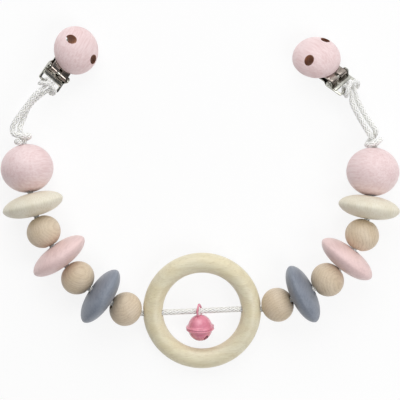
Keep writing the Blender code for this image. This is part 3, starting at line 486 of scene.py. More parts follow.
def make_braid(name, look, shaded, linty, melted):
    """White polyester braid. Its strands cross two over and two under, as the mesh's do, and the
    hollows between them get a painted shade.
    """
    main = tuple(look.cord)
    made, wire, shader = new_material(name, main)
    place = wire.node("Attribute", "Vector", {"attribute_name": "braid"})
    x, y, z = (wire.node("SeparateXYZ", axis, Vector=place) for axis in "XYZ")
    turn = y.math("ARCTAN2", x) * (look.strands / (2 * math.pi))
    along = z / (look.stitch / MM)
    first, second = turn + along, turn - along
    high_first = bulge(first) * (lift(second, first, 0) * (1 - STRAND_UNDER) + STRAND_UNDER)
    high_second = bulge(second) * ((1 - lift(first, second, 1)) * (1 - STRAND_UNDER) + STRAND_UNDER)
    height = high_first.math("MAXIMUM", high_second)
    second_shows = (high_second - high_first).ramp(-0.02, 0.02)
    yarns_first, yarns_second = (
        (way * (2 * math.pi * YARNS_IN_STRAND)).math("SINE") for way in (first, second)
    )
    yarns = yarns_first + (yarns_second - yarns_first) * second_shows
    lint = wire.noise(place, 1.1, 2, 0.6)
    # painted shade: the colour goes towards the shaded colour at the strands' edges, darkening the
    # hollows between them
    base = (1 - height.ramp(0.1, 0.7)).mix(main, shaded)
    base = (lint.ramp(0.45, 0.8) * 0.12).mix(base, linty)
    sealed = wire.node("Attribute", "Fac", {"attribute_name": "sealed"})
    wire.feed(
        shader, Base_Color=sealed.mix(base, melted), Roughness=lint * 0.1 + 0.72,
        Normal=wire.bump(height + yarns * 0.10, 0.22 * MM, 0.6),
        Sheen_Weight=0.25, Sheen_Roughness=0.5,
        Subsurface_Weight=0.5, Subsurface_Radius=(1, 1, 0.95), Subsurface_Scale=MM,
    )
    return made


def bulge(across):
    """A strand's round top, from 0 at its edges to 1 in its middle."""
    centred = across.math("FRACT") * 2 - 1
    return 1 - centred * centred


def lift(across, own, shift):
    """How far a strand is on top, as it crosses the strands of the other way."""
    counted = own.math("FLOOR") + shift
    return ((across - counted) * (math.pi / 2)).math("COSINE") * 0.5 + 0.5


def make_materials(look):
    """The material of each finish."""
    beech = (colour(213, 195, 168), colour(170, 144, 114), colour(220, 204, 181))
    maple = (colour(229, 219, 186), colour(190, 172, 134), colour(230, 224, 198))
    vent = (colour(164, 110, 80), colour(106, 64, 46), colour(184, 134, 104))
    stain = (colour(224, 217, 197), colour(204, 193, 166), colour(231, 226, 209))
    pink = (tuple(look.pink), colour(214, 184, 182), colour(240, 222, 218))
    grey = (tuple(look.grey), colour(108, 115, 128), colour(146, 152, 163))
    blush = (tuple(look.blush), colour(218, 186, 185), colour(242, 225, 223))
    enamel = (tuple(look.enamel), colour(196, 96, 122), colour(236, 178, 190))
    milky = (colour(226, 226, 218), colour(214, 213, 202), colour(232, 232, 226))
    # The first colour is the painted shade of the cord's hollows; the lint and the melted end are
    # the yarn's own colours
    braid_hollow_shade_lint_melt = (colour(178, 177, 168), colour(218, 216, 212), colour(176, 150, 122))
    return {
        "braid": make_braid("braid", look, *braid_hollow_shade_lint_melt),
        "beech": make_wood(
            "beech", *beech, rings=0.20, fibres=0.85, spacing=1.6, roughness=0.5, coat=0.05
        ),
        "maple": make_wood(
            "maple", *maple, rings=0.16, fibres=1.0, spacing=4.2, roughness=0.42, coat=0.2
        ),
        "bare": make_wood(
            "vent_wood", *vent, rings=0.3, fibres=0.6, spacing=1.2, roughness=0.62, coat=0
        ),
        "cream": make_stain("cream_stain", *stain),
        "pink": make_lacquer("pink_lacquer", *pink, roughness=0.42),
        "grey": make_lacquer("grey_lacquer", *grey, roughness=0.42),
        "blush": make_lacquer("blush_lacquer", *blush, roughness=0.44),
        "enamel": make_enamel("bell_enamel", *enamel),
        "nickel": make_nickel("nickel", colour(208, 208, 200), colour(122, 119, 110), 700),
        # The levers' nickel is tinted warm and a little darker: a painted reflection of the pink
        # button above each lever
        "nickel_with_painted_button_reflection": make_nickel("nickel_with_painted_button_reflection", colour(190, 180, 172), colour(110, 98, 90), 800),
        "dark_nickel": make_nickel("nickel_dark", colour(150, 142, 132), colour(96, 86, 78), 900),
        "pad": make_plastic("pad_plastic", *milky),
    }


MATERIALS = {}


def material(finish):
    """The material of a finish. All of them are made at the first call."""
    if not MATERIALS:
        MATERIALS.update(make_materials(bpy.context.scene.toy_look))
    return MATERIALS[finish]


# Shapes


def put(name, mesh, matrix, body, node, *finishes):
    """Show a mesh as a piece that rides on a body and stands for a node of the model. Each
    finish gives it a material, and the first one gives its slot."""
    mesh.name = name
    piece = linked(name, mesh)
    piece.matrix_world = matrix
    for finish in finishes:
        mesh.materials.append(material(finish))
    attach(piece, body)
    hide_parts(node)
    return piece


def linked(name, data):
    """A new object in the scene."""
    made = bpy.data.objects.new(name, data)
    bpy.context.scene.collection.objects.link(made)
    return made


def evaluated(thing):
    """The mesh that an object's curve or modifiers give. The object goes."""
    bpy.context.view_layer.update()
    graph = bpy.context.evaluated_depsgraph_get()
    mesh = bpy.data.meshes.new_from_object(thing.evaluated_get(graph))
    bpy.data.objects.remove(thing, do_unlink=True)
    return mesh


def shade(mesh):
    """Shade a mesh smooth, except at its sharp edges."""
    mesh.shade_smooth()
    mesh.set_sharp_from_angle(angle=SHARP)
    return mesh


def cleaned(mesh):
    """Join doubled points, turn all faces outwards and shade them smooth."""
    shape = bmesh.new()
    shape.from_mesh(mesh)
    bmesh.ops.remove_doubles(shape, verts=shape.verts, dist=MERGE)
    bmesh.ops.dissolve_degenerate(shape, edges=shape.edges, dist=MERGE / 2)
    loose = [edge for edge in shape.edges if not edge.link_faces]
    bmesh.ops.delete(shape, geom=loose, context="EDGES")
    bmesh.ops.recalc_face_normals(shape, faces=shape.faces)
    shape.to_mesh(mesh)
    shape.free()
    mesh.shade_smooth()
    return mesh


def grid_faces(count, around, closed=False):
    """The faces between rows of points. Each row is a loop, and so are the rows if closed."""
    faces = []
    for i in range(count if closed else count - 1):
        row, after = i * around, (i + 1) % count * around
        for j in range(around):
            beside = (j + 1) % around
            faces.append((row + j, row + beside, after + beside, after + j))
    return faces


def grid_mesh(rows, closed=False):
    """A mesh over rows of points. Each row is a loop, and so are the rows if closed."""
    rows = np.asarray(rows, dtype=float)
    mesh = bpy.data.meshes.new("grid")
    mesh.from_pydata(rows.reshape(-1, 3).tolist(), [], grid_faces(*rows.shape[:2], closed))
    return cleaned(mesh)


def turned(outline, steps=96, wave=None):
    """Turn a closed outline of (radius, height) points about the local Z axis."""
    rows = []
    for i in range(steps):
        angle = 2 * math.pi * i / steps
        row = [wave(*point, angle) for point in outline] if wave else outline
        rows.append([(x * math.cos(angle), x * math.sin(angle), height) for x, height in row])
    return grid_mesh(rows, closed=True)


def arc(middle, radius, start, end, count):
    """Points on an arc in a plane, from one angle to another."""
    angles = [start + (end - start) * i / (count - 1) for i in range(count)]
    return [(middle[0] + radius * math.cos(a), middle[1] + radius * math.sin(a)) for a in angles]


def circle(middle, radius, count):
    """Points round a circle in a plane."""
    return arc(middle, radius, 0, 2 * math.pi, count + 1)[:-1]


def mirrored(points):
    """Points, and then backwards the same points with the sign of their last number changed."""
    return [*points, *[(*rest, -last) for *rest, last in reversed(points)]]


def eased(share):
    """A share from 0 to 1 that starts and ends softly."""
    return share * share * (3 - 2 * share)


def axes(x, y, z, origin):
    """A placement from three directions and an origin."""
    found = Matrix((x, y, z)).transposed().to_4x4()
    found.translation = origin
    return found


def frame_along(direction, origin):
    """A placement whose Z axis runs along a direction and whose X axis stays level."""
    z = Vector(direction).normalized()
    x = UP.cross(z).normalized()
    return axes(x, z.cross(x), z, origin)


def shift(x=0, y=0, z=0):
    """A placement that only moves."""
    return Matrix.Translation((x, y, z))


def named(rows, name):
    """The row of the model's record that has a name."""
    for row in rows:
        if row["name"] == name:
            return row
    raise ValueError(f"the record has no {name}")


def joint(name):
    """The place and the axis of one of the model's joints."""
    row = named(frame["record"]["behaviour"]["joints"], name)
    return Vector(row["pos_m"]), Vector(row["axis"]).normalized()


def stamp_grain(mesh, turn, seed):
    """Keep for each point where it lies in the wood: turned, and moved away from the pith."""
    away = np.array((9 + 3.1 * (seed % 5), 4.7 * (seed % 3) - 5, 2.3 * seed))
    spots = np.empty(len(mesh.vertices) * 3)
    mesh.vertices.foreach_get("co", spots)
    spots = spots.reshape(-1, 3) / MM @ np.array(turn.to_3x3()).T + away
    stored = mesh.attributes.new("grain", "FLOAT_VECTOR", "POINT")
    stored.data.foreach_set("vector", spots.ravel())


def carve(mesh, cutters):
    """Cut closed meshes out of a mesh, and empty its materials."""
    body = linked("body", mesh)
    tools = [linked("cutter", cutter) for cutter in cutters]
    for tool in tools:
        step = body.modifiers.new("cut", "BOOLEAN")
        step.object = tool
        step.operation = "DIFFERENCE"
        step.solver = "EXACT"
    found = evaluated(body)
    for tool in tools:
        bpy.data.objects.remove(tool, do_unlink=True)
    found.materials.clear()
    return shade(found)


def rod(radius, low, high, matrix, steps=48):
    """A closed cylinder along the placement's Z axis."""
    mesh = turned([(0, low), (radius, low), (radius, high), (0, high)], steps)
    mesh.transform(matrix)
    return mesh


def slab(outlines, thickness, rounding, matrix):
    """A flat outline with any holes, given thickness, with rounded edges."""
    curve = bpy.data.curves.new("slab", "CURVE")
    curve.dimensions = "2D"
    curve.fill_mode = "BOTH"
    curve.extrude = thickness / 2 - rounding
    curve.bevel_depth = rounding
    curve.bevel_resolution = 2
    curve.offset = -rounding
    for outline in outlines:
        spline = curve.splines.new("POLY")
        spline.points.add(len(outline) - 1)
        for point, (x, y) in zip(spline.points, outline):
            point.co = (x, y, 0, 1)
        spline.use_cyclic_u = True
    mesh = cleaned(evaluated(linked("slab", curve)))
    mesh.transform(matrix)
    return mesh


def joined(*meshes):
    """Several meshes as one, shaded smooth except at sharp edges."""
    shape = bmesh.new()
    for mesh in meshes:
        shape.from_mesh(mesh)
    found = bpy.data.meshes.new("joined")
    shape.to_mesh(found)
    shape.free()
    return shade(found)


def tube(points, radius, sides=16):
    """A round wire along points, with its ends closed."""
    points = [Vector(p) for p in points]
    normal = (points[1] - points[0]).orthogonal().normalized()
    rows = []
    for i, spot in enumerate(points):
        run = (points[min(i + 1, len(points) - 1)] - points[max(i - 1, 0)]).normalized()
        normal = (normal - normal.project(run)).normalized()
        other = run.cross(normal)
        rows.append([spot + radius * (x * normal + y * other) for x, y in circle((0, 0), 1, sides)])
    return grid_mesh([[points[0]] * sides, *rows, [points[-1]] * sides])


# Cord


def cord_line():
    """The cord's route, smoothed and cut into even steps. Gives its points, and how far along
    the cord each of them is."""
    points = [Vector(p) * MM for p in ROUTE]
    ends = [2 * points[0] - points[1], *points, 2 * points[-1] - points[-2]]
    dense = []
    for before, start, end, after in zip(ends, ends[1:], ends[2:], ends[3:]):
        reach = (end - start).length
        first = (end - before).normalized() * reach
        last = (after - start).normalized() * reach
        count = max(2, math.ceil(reach / (CORD_STEP / 3)))
        for t in (i / count for i in range(count)):
            spot = (2 * t**3 - 3 * t**2 + 1) * start + (t**3 - 2 * t**2 + t) * first
            dense.append(spot + (3 * t**2 - 2 * t**3) * end + (t**3 - t**2) * last)
    dense = np.array([*dense, points[-1]])
    along = np.concatenate([[0], np.cumsum(np.linalg.norm(np.diff(dense, axis=0), axis=1))])
    even = np.linspace(0, along[-1], round(along[-1] / CORD_STEP) + 1)
    return np.stack([np.interp(even, along, dense[:, k]) for k in range(3)], axis=1), even


def braid_height(turn, along):
    """The same crossing strands as in the cord's material, from 0 to 1."""
    first, second = turn + along, turn - along
    round_first = 1 - (2 * (first % 1) - 1) ** 2
    round_second = 1 - (2 * (second % 1) - 1) ** 2
    over_first = np.cos((second - np.floor(first)) * math.pi / 2) * 0.5 + 0.5
    over_second = 0.5 - np.cos((first - np.floor(second) - 1) * math.pi / 2) * 0.5
    rest = 1 - STRAND_UNDER
    return np.maximum(
        round_first * (STRAND_UNDER + rest * over_first),
        round_second * (STRAND_UNDER + rest * over_second),
    )


def thickness(line):
    """The cord's radius at each place of its line: the hitches squeeze it."""
    radii = np.full(len(line), CORD_RADIUS)
    for side in SIDES:
        bar = np.array(joint(side + "_clip_swing")[0])
        away = np.linalg.norm(line - bar, axis=1)
        share = np.clip((away - SQUEEZE_REACH) / SQUEEZE_FADE, 0, 1)
        radii = np.minimum(radii, CORD_RADIUS * (SQUEEZE + (1 - SQUEEZE) * eased(share)))
    return radii


def braid_rings(look, line, along, angles):
    """Rings of points round the line, with the relief of the braid and with rounded ends."""
    runs = np.gradient(line, axis=0)
    runs /= np.linalg.norm(runs, axis=1)[:, None]
    normal = np.array(Vector(runs[0]).orthogonal().normalized())
    rings = []
    for spot, run, reach, thick in zip(line, runs, along, thickness(line)):
        normal = normal - normal.dot(run) * run
        normal /= np.linalg.norm(normal)
        way = np.cos(angles)[:, None] * normal + np.sin(angles)[:, None] * np.cross(run, normal)
        left = min(reach, along[-1] - reach) / CORD_RADIUS
        height = braid_height(angles * look.strands / (2 * math.pi), reach / look.stitch)
        radius = thick - look.relief * (1 - height) * min(1, left)
        radius *= min(1, CUT_END + (1 - CUT_END) * math.sqrt(min(1, left * 2)))
        rings.append(spot + radius[:, None] * way)
    return np.array(rings)


def braided_mesh(look, line, along):
    """A closed tube along a line, with the relief of a braid. It keeps for each point where it
    lies on the straight cord, in millimetres, and how far it is melted."""
    count, sides = len(line), CORD_SIDES
    angles = np.arange(sides) * 2 * math.pi / sides
    rings = braid_rings(look, line, along, angles)
    faces = grid_faces(count, sides)
    for j in range(sides):
        k = (j + 1) % sides
        faces.append((count * sides, k, j))
        faces.append((count * sides + 1, (count - 1) * sides + j, (count - 1) * sides + k))
    mesh = bpy.data.meshes.new("cord")
    points = [*rings.reshape(-1, 3).tolist(), line[0].tolist(), line[-1].tolist()]
    mesh.from_pydata(points, [], faces)
    place = np.zeros((count, sides, 3))
    place[..., 0] = np.cos(angles)
    place[..., 1] = np.sin(angles)
    place[..., 2] = along[:, None] / MM
    place = np.concatenate([place.reshape(-1, 3), [[1, 0, 0], [1, 0, along[-1] / MM]]])
    mesh.attributes.new("braid", "FLOAT_VECTOR", "POINT").data.foreach_set("vector", place.ravel())
    faded = (along - along[-1] + MELTED_LENGTH + MELTED_FADE) / MELTED_FADE
    melted = np.concatenate([np.repeat(np.clip(faded, 0, 1), sides), [0, 1]])
    mesh.attributes.new("sealed", "FLOAT", "POINT").data.foreach_set("value", melted)
    mesh.shade_smooth()
    return mesh


def make_cord(look):
    """The cord in one piece, from its left cut end to its right one."""
    line, along = cord_line()
    piece = put("braided_cord", braided_mesh(look, line, along), Matrix(), "cord", "cord", "braid")


# Beads


def bead_outline(radius, half, power, rim_power):
    """A turned bead's outline with a rounded mouth, down its outside and up its bore."""
    end = half * (1 - (MOUTH_RADIUS / radius) ** power) ** (1 / rim_power)
    first = math.acos((MOUTH_RADIUS / radius) ** (power / 2))
    outside = []
    count = 56
    for i in range(count + 1):
        angle = first - 2 * first * i / count
        up = math.copysign(abs(math.sin(angle)) ** (2 / rim_power), angle)
        outside.append((radius * math.cos(angle) ** (2 / power), half * up))
    mouth = []
    for i in range(1, 7):
        angle = math.pi / 2 * i / 6
        across = BORE_RADIUS + (MOUTH_RADIUS - BORE_RADIUS) * (1 - math.sin(angle))
        mouth.append((across, end - MOUTH_DEPTH * (1 - math.cos(angle))))
    below = [(x, -y) for x, y in mouth]
    bore = [(BORE_RADIUS, (end - MOUTH_DEPTH) * (i / 4 - 1)) for i in range(1, 8)]
    return outside + below + bore + list(reversed(mouth))


def make_bead(node, shape, finish, tilt, roll, seed):
    """A bead that turns on the cord. Its grain leans by the two angles, in degrees."""
    place, axis = joint(node + "_spin")
    mesh = turned(bead_outline(*BEAD_SHAPES[shape]))
    lean = Matrix.Rotation(math.radians(tilt), 3, "X")
    stamp_grain(mesh, lean @ Matrix.Rotation(math.radians(roll), 3, "Z"), seed)
    put(node + "_wood", mesh, frame_along(axis, place), node, node, finish)


# Ring


def make_ring():
    """The ring lies tilted, with its middle on the cord and its near side on the floor."""
    middle, along = joint("ring_turn")
    tilt = math.asin((middle.z - RING_TUBE_RADIUS) / RING_MIDDLE_RADIUS)
    level = axes(along, UP.cross(along), UP, middle)
    ring = turned(circle((RING_MIDDLE_RADIUS, 0), RING_TUBE_RADIUS, 48), 192)
    reach = RING_MIDDLE_RADIUS + RING_TUBE_RADIUS + MM
    mesh = carve(ring, [rod(BORE_RADIUS, -reach, reach, frame_along((1, 0, 0), (0, 0, 0)))])
    stamp_grain(mesh, Matrix.Rotation(math.radians(90), 3, "Y"), RING_SEED)
    tilted = level @ Matrix.Rotation(tilt, 4, "X")
    put("ring_wood", mesh, tilted, "ring", "grasping_ring", "maple")


# Bell


def shell_mesh():
    """Half of the bell, open at its widest: crown, raised band and inside."""
    radius, height = BELL_RADIUS, BELL_HALF_HEIGHT
    seam = SEAT_GAP / 4
    slope = math.acos(CROWN_FOOT / height)
    outline = [
        (radius * math.sin(slope * i / 24), height * math.cos(slope * i / 24)) for i in range(25)
    ]
    foot = outline[-1]
    outline += [(foot[0] + out, foot[1] - down) for out, down in NECK]
    edge = (BAND_RADIUS - BAND_EDGE_RADIUS, BAND_EDGE_HEIGHT)
    outline += arc(edge, BAND_EDGE_RADIUS, *BAND_EDGE_TURN, 9)
    outline += [(BAND_RADIUS - BAND_INSET, seam), (radius - BELL_WALL, seam)]
    for i in range(1, 17):
        angle = math.pi / 2 * i / 16
        inside = (radius - BELL_WALL) * math.cos(angle), (height - BELL_WALL) * math.sin(angle)
        outline.append(inside)
    return turned(outline, BELL_STEPS, band_wave)


def band_wave(radius, height, angle):
    """The pressed band isn't quite even: it waves a little round the bell."""
    near = max(0.0, 1 - abs(height) / (2 * BAND_HALF_HEIGHT)) * radius / BAND_RADIUS
    swell = sum(depth * math.sin(number * angle + start) for depth, number, start in BAND_WAVES)
    return radius + near * swell * (radius > WAVED_FROM), height


def slit_cutters():
    """A slot across the bell's pole with a round hole at each end."""
    low, high = BELL_HALF_HEIGHT / 2, BELL_HALF_HEIGHT + MM
    x, y = SLIT_LENGTH / 2, SLIT_WIDTH / 2
    aside = Matrix.Rotation(SLIT_TURN, 4, "Z")
    middle = aside @ shift(z=(low + high) / 2)
    slit = slab([[(x, y), (-x, y), (-x, -y), (x, -y)]], high - low, FINE_EDGE, middle)
    holes = [rod(SLIT_END_RADIUS, low / 2, high, aside @ shift(end), 24) for end in (-x, x)]
    return [slit, *holes]


def staple_mesh():
    """The wire over the cord: a bend that narrows to its top, and two feet on the crown."""
    bend = STAPLE_INNER_RADIUS + STAPLE_WIRE_RADIUS
    drop = BELL_HALF_HEIGHT * (1 - math.sqrt(1 - (bend / BELL_RADIUS) ** 2))
    foot = -CORD_TO_CROWN - drop + STAPLE_WIRE_RADIUS / 2
    path = [(0, bend * (STAPLE_SPREAD - STAPLE_DRAW_IN * t), foot * t) for t in (1, 0.7, 0.35)]
    for y, z in arc((0, 0), bend, 0, math.pi, 33):
        share = (z / bend) ** 2
        wide = y * STAPLE_SPREAD * (1 - STAPLE_PINCH * share)
        path.append((0, wide, z * (1 + STAPLE_STRETCH * share)))
    path += [(x, -y, z) for x, y, z in reversed(path[:3])]
    return tube(path, STAPLE_WIRE_RADIUS)


def make_bell():
    """The two shells and the staple. Local Z runs from the bell's middle to the cord."""
    hook, along = joint("bell_swing")
    centre = joint("pellet_roll")[0]
    up = (hook - centre).normalized()
    upright = axes(along, up.cross(along), up, centre)
    over = upright @ Matrix.Rotation(math.pi, 4, "X")
    bowl = carve(shell_mesh(), slit_cutters())
    askew = axes(along, up.cross(along), up, hook) @ Matrix.Rotation(STAPLE_TURN, 4, "Z")
    put("bell_crown", shell_mesh(), upright, "bell", "bell_upper_shell", "enamel")
    put("bell_bowl", bowl, over, "bell", "bell_lower_shell", "enamel")
    put("bell_staple", staple_mesh(), askew, "bell", "bell_loop", "enamel")


# Clips


def clip_frame(side):
    """A clip's placement. Local X runs to its nose, and Z to its button's top."""
    z = -Vector(named(frame["record"]["mounts"], side + "_clip_back")["axis"]).normalized()
    y = joint(side + "_clip_swing")[1]
    x = y.cross(z).normalized()
    pivot = joint(side + "_lever_open")[0]
    return axes(x, y, z, pivot - x * PIVOT_FROM_WEB - z * PIVOT_HEIGHT)


def base_mesh():
    """Strap bar, slot, pressed-up web, floor, two folded ears and a toothed lip."""
    half, nose = PLATE_WIDTH / 2, NOSE_WIDTH / 2
    slot_end = -WEB_WIDTH / 2
    slot_start = slot_end - SLOT_LENGTH
    back = slot_start - BAR_WIDTH
    corner = (back + PLATE_CORNER, half - PLATE_CORNER)
    side = arc(corner, PLATE_CORNER, math.pi, math.pi / 2, 9)
    for share in (i / 8 for i in range(9)):
        along = PIVOT_FROM_WEB + EAR_RADIUS + (half - nose) * TAPER * share
        side.append((along, half + (nose - half) * eased(share)))
    side.append((NOSE_FROM_WEB, nose))
    slot = []
    x_high, x_low = slot_end - SLOT_CORNER, slot_start + SLOT_CORNER
    y = half - SLOT_SIDE - SLOT_CORNER
    for i, middle in enumerate(((x_high, y), (x_low, y), (x_low, -y), (x_high, -y))):
        start = math.pi / 2 * i
        slot += arc(middle, SLOT_CORNER, start, start + math.pi / 2, 6)
    plate = slab([mirrored(side), slot], SHEET, STAMPED_EDGE, Matrix())
    rise = SHEET / 2 + WEB_RISE
    section = [(x * WEB_WIDTH, z * rise) for x, z in WEB_SECTION]
    web = slab([section], PLATE_WIDTH - SLOT_SIDE, FINE_EDGE, ACROSS)
    round_bar = circle((back + BAR_WIDTH / 2, 0), BAR_WIDTH / 2, 16)
    bar = slab([round_bar], 2 * (half - SLOT_SIDE), FINE_EDGE, ACROSS)
    return joined(plate, *ear_meshes(), web, bar, lip_mesh())


def ear_meshes():
    """The ears that hold the pin, folded up at both sides of the base."""
    pivot = (PIVOT_FROM_WEB, PIVOT_HEIGHT)
    reach = EAR_RADIUS + EAR_FOOT
    ear = arc(pivot, EAR_RADIUS, 0, math.pi, 25)
    ear += [(PIVOT_FROM_WEB - reach, 0), (PIVOT_FROM_WEB + reach, 0)]
    bore = circle(pivot, PIN_RADIUS + SEAT_GAP / 2, 32)
    aside = (PLATE_WIDTH - SHEET) / 2
    return [slab([ear, bore], SHEET, STAMPED_EDGE, ACROSS @ shift(z=z)) for z in (-aside, aside)]


def lip_mesh():
    """The nose of the base, turned up and cut into wavy teeth."""
    nose = NOSE_WIDTH / 2
    count = round(NOSE_WIDTH / TOOTH_PITCH / 2) * 2
    pitch = NOSE_WIDTH / count
    high = SHEET / 2 + LIP_HEIGHT
    saw = [(nose, 0)]
    for i in range(count):
        for step in (0, 0.3, 0.5, 0.7):
            dip = 0.5 - 0.5 * math.cos(math.pi * (i + step))
            saw.append((nose - (i + step) * pitch, high - TOOTH_DEPTH * dip))
    saw += [(-nose, high), (-nose, 0)]
    stand = shift(NOSE_FROM_WEB - SHEET / 2) @ Matrix.Rotation(math.pi / 2, 4, "Z") @ ACROSS
    return slab([saw], SHEET, STAMPED_EDGE, stand)


def lever_mesh():
    """A plate whose end is rolled into two knuckles round the pin, with a seam below."""
    half = LEVER_WIDTH / 2
    pivot = (PIVOT_FROM_WEB, PIVOT_HEIGHT)
    inner = PIN_RADIUS + SEAT_GAP / 2
    low = LEVER_TOP - SHEET
    rise = low - PIVOT_HEIGHT
    meet = PIVOT_FROM_WEB + math.sqrt(BARREL_RADIUS**2 - rise**2) + KNUCKLE_LEAD
    profile = arc(pivot, BARREL_RADIUS, math.pi / 2, BARREL_END, 41)
    profile += arc(pivot, inner, BARREL_END, math.asin(rise / inner), 33)
    profile = [(meet, LEVER_TOP), *profile, (meet, low)]
    width = half - KNUCKLE_NOTCH
    aside = KNUCKLE_NOTCH + width / 2
    knuckles = [slab([profile], width, ROLLED_EDGE, ACROSS @ shift(z=z)) for z in (-aside, aside)]
    hole = circle((BUTTON_FROM_WEB - PAD_LENGTH, 0), RIVET_RADIUS + SEAT_GAP, 32)
    outlines = [lever_outline(meet - KNUCKLE_LAP), hole]
    plate = slab(outlines, SHEET, ROLLED_EDGE, shift(z=LEVER_TOP - SHEET / 2))
    return joined(*knuckles, plate)


def lever_outline(back):
    """The lever's plate: a notch between the knuckles at its back, and a round tip."""
    half, notch = LEVER_WIDTH / 2, KNUCKLE_NOTCH
    bottom = PIVOT_FROM_WEB + BARREL_RADIUS + NOTCH_CLEARANCE
    tip = NOSE_FROM_WEB - SHEET - SEAT_GAP
    radius = half * LEVER_TIP
    low, high = -half * (1 - LEVER_TIP), half * (1 - LEVER_TIP)
    return [
        (back, -half),
        *arc((tip - radius, low), radius, -math.pi / 2, 0, 13),
        *arc((tip - radius, high), radius, 0, math.pi / 2, 13),
        (back, half), (back, notch), (bottom, notch * NOTCH_TAPER),
        (bottom, -notch * NOTCH_TAPER), (back, -notch),
    ]


def pin_mesh():
    """The hinge pin with its riveted heads."""
    flat = PLATE_WIDTH / 2 + SEAT_GAP / 2
    half = [(share * PIN_HEAD_RADIUS, flat + height) for share, height in PIN_HEAD]
    return turned(mirrored([*half, (PIN_RADIUS, flat)]), 40)


def button_mesh(turn):
    """The domed button. Its vents and the rivet's hole are bare wood."""
    top = BUTTON_RIM + BUTTON_HEIGHT
    outline = [(0, top)]
    for i in range(1, 49):
        angle = math.pi / 2 * (1 - i / 48)
        high = BUTTON_RIM + BUTTON_HEIGHT * math.sin(angle)
        outline.append((BUTTON_RADIUS * math.cos(angle), high))
    edge = (BUTTON_RADIUS - BUTTON_EDGE_RADIUS, BUTTON_EDGE_RADIUS)
    outline += arc(edge, BUTTON_EDGE_RADIUS, 0, -math.pi / 2, 7)
    outline.append((0, 0))
    aside = Matrix.Rotation(turn, 3, "Z") @ Vector((0, VENT_PITCH_RADIUS, 0))
    vents = [-aside, aside]
    rivet = Vector((-PAD_LENGTH, 0, 0))
    cutters = [rod(VENT_RADIUS, -MM, top + MM, shift(*vent), 40) for vent in vents]
    cutters.append(rod(RIVET_RADIUS + SEAT_GAP, -MM, RIVET_DEPTH, shift(*rivet), 24))
    mesh = carve(turned(outline, 128), cutters)
    for face in mesh.polygons:
        flat = Vector((face.center.x, face.center.y, 0))
        near = min((flat - spot).length for spot in (*vents, rivet)) < BARE_REACH
        if near and abs(face.normal.z) < WALL_LEAN:
            face.material_index = 1
    return mesh


def make_clip(side):
    """A clip's base and pin, and the lever with its button, which opens."""
    placed = clip_frame(side)
    base, lever = side + "_clip", side + "_clip_lever"
    put(side + "_stamped_base", base_mesh(), placed, base, side + "_clip_base", "nickel")
    # the lever's warm tint is a painted reflection of its button
    put(side + "_rolled_lever", lever_mesh(), placed, lever, side + "_clip_lever", "nickel_with_painted_button_reflection")
    pivot = placed @ shift(PIVOT_FROM_WEB, 0, PIVOT_HEIGHT) @ ACROSS
    put(side + "_hinge_pin", pin_mesh(), pivot, base, side + "_clip_pin", "nickel")
    turn, seed = BUTTONS[side]
    button = button_mesh(turn)
    stamp_grain(button, Matrix.Rotation(math.radians(80), 3, "Y"), seed)
    seat = placed @ shift(BUTTON_FROM_WEB, 0, LEVER_TOP + SEAT_GAP)
    put(side + "_domed_button", button, seat, lever, side + "_clip_button", "blush", "bare")


# Stage


def make_camera(height, view_width):
    """The camera, straight above the toy."""
    data = bpy.data.cameras.new("camera")
    data.sensor_width = SENSOR_WIDTH
    data.lens = SENSOR_WIDTH * (height - BEADS_HEIGHT) / view_width
    data.clip_start = CLIP_START
    camera = linked("camera", data)
    camera.location = (*VIEW_MIDDLE, height)
    bpy.context.scene.camera = camera


def make_floor():
    """A pale paper floor. Where it's seen, a share of it is plain white over its shadows."""
    mesh = bpy.data.meshes.new("floor")
    reach = FLOOR_REACH
    corners = [(-reach, -reach, 0), (reach, -reach, 0), (reach, reach, 0), (-reach, reach, 0)]
    mesh.from_pydata(corners, [], [(0, 1, 2, 3)])
    made, wire, shader = new_material("floor", (0.9, 0.9, 0.9, 1))
    paper = wire.noise(wire.node("TexCoord", "Object"), 60, 3, 0.5)
    wire.feed(
        shader, Base_Color=paper.mix(colour(246, 246, 246), colour(250, 250, 250)), Roughness=0.85
    )
    direct, reflected, through = (
        wire.node("LightPath", f"Is {kind} Ray") for kind in ("Camera", "Glossy", "Transmission")
    )
    seen = (direct + reflected + through).clamp() * FLOOR_WHITE
    white = wire.node("Emission", Color=(1, 1, 1, 1), Strength=1.0)
    lit = Wire(wire.tree, shader.outputs[0])
    shown = wire.node("MixShader", n0=seen, n1=lit, n2=white)
    wire.feed(wire.tree.nodes["Material Output"], Surface=shown)
    mesh.materials.append(made)
    linked("floor", mesh)


def make_sky(strength):
    """A studio: low white walls all round, a bright far side, and dark elsewhere."""
    world = bpy.data.worlds.new("sky")
    world.use_nodes = True
    bpy.context.scene.world = world
    wire = Wire(world.node_tree)
    way = wire.node("TexCoord", "Generated")
    ahead = wire.node("SeparateXYZ", "Y", Vector=way)
    up = wire.node("SeparateXYZ", "Z", Vector=way)
    room = ahead.ramp(0.10, 0.60).mix(WALLS_DIM, WALLS_BRIGHT)
    base = up.ramp(0.12, 0.26).mix((1, 1, 1, 1), room)
    wire.feed(world.node_tree.nodes["Background"], Color=base, Strength=strength)


def make_light(name, spot, size, power):
    """A square soft box that faces the toy."""
    data = bpy.data.lights.new(name, "AREA")
    data.shape = "SQUARE"
    data.size = size
    data.energy = power
    linked(name, data).matrix_world = frame_along(spot, Vector(spot))


# Settings, operators and panel


def paint(name, description, *seen):
    """A colour that a user can change."""
    return FloatVectorProperty(
        name=name, description=description, subtype="COLOR", size=4, default=colour(*seen),
        min=0, max=1,
    )


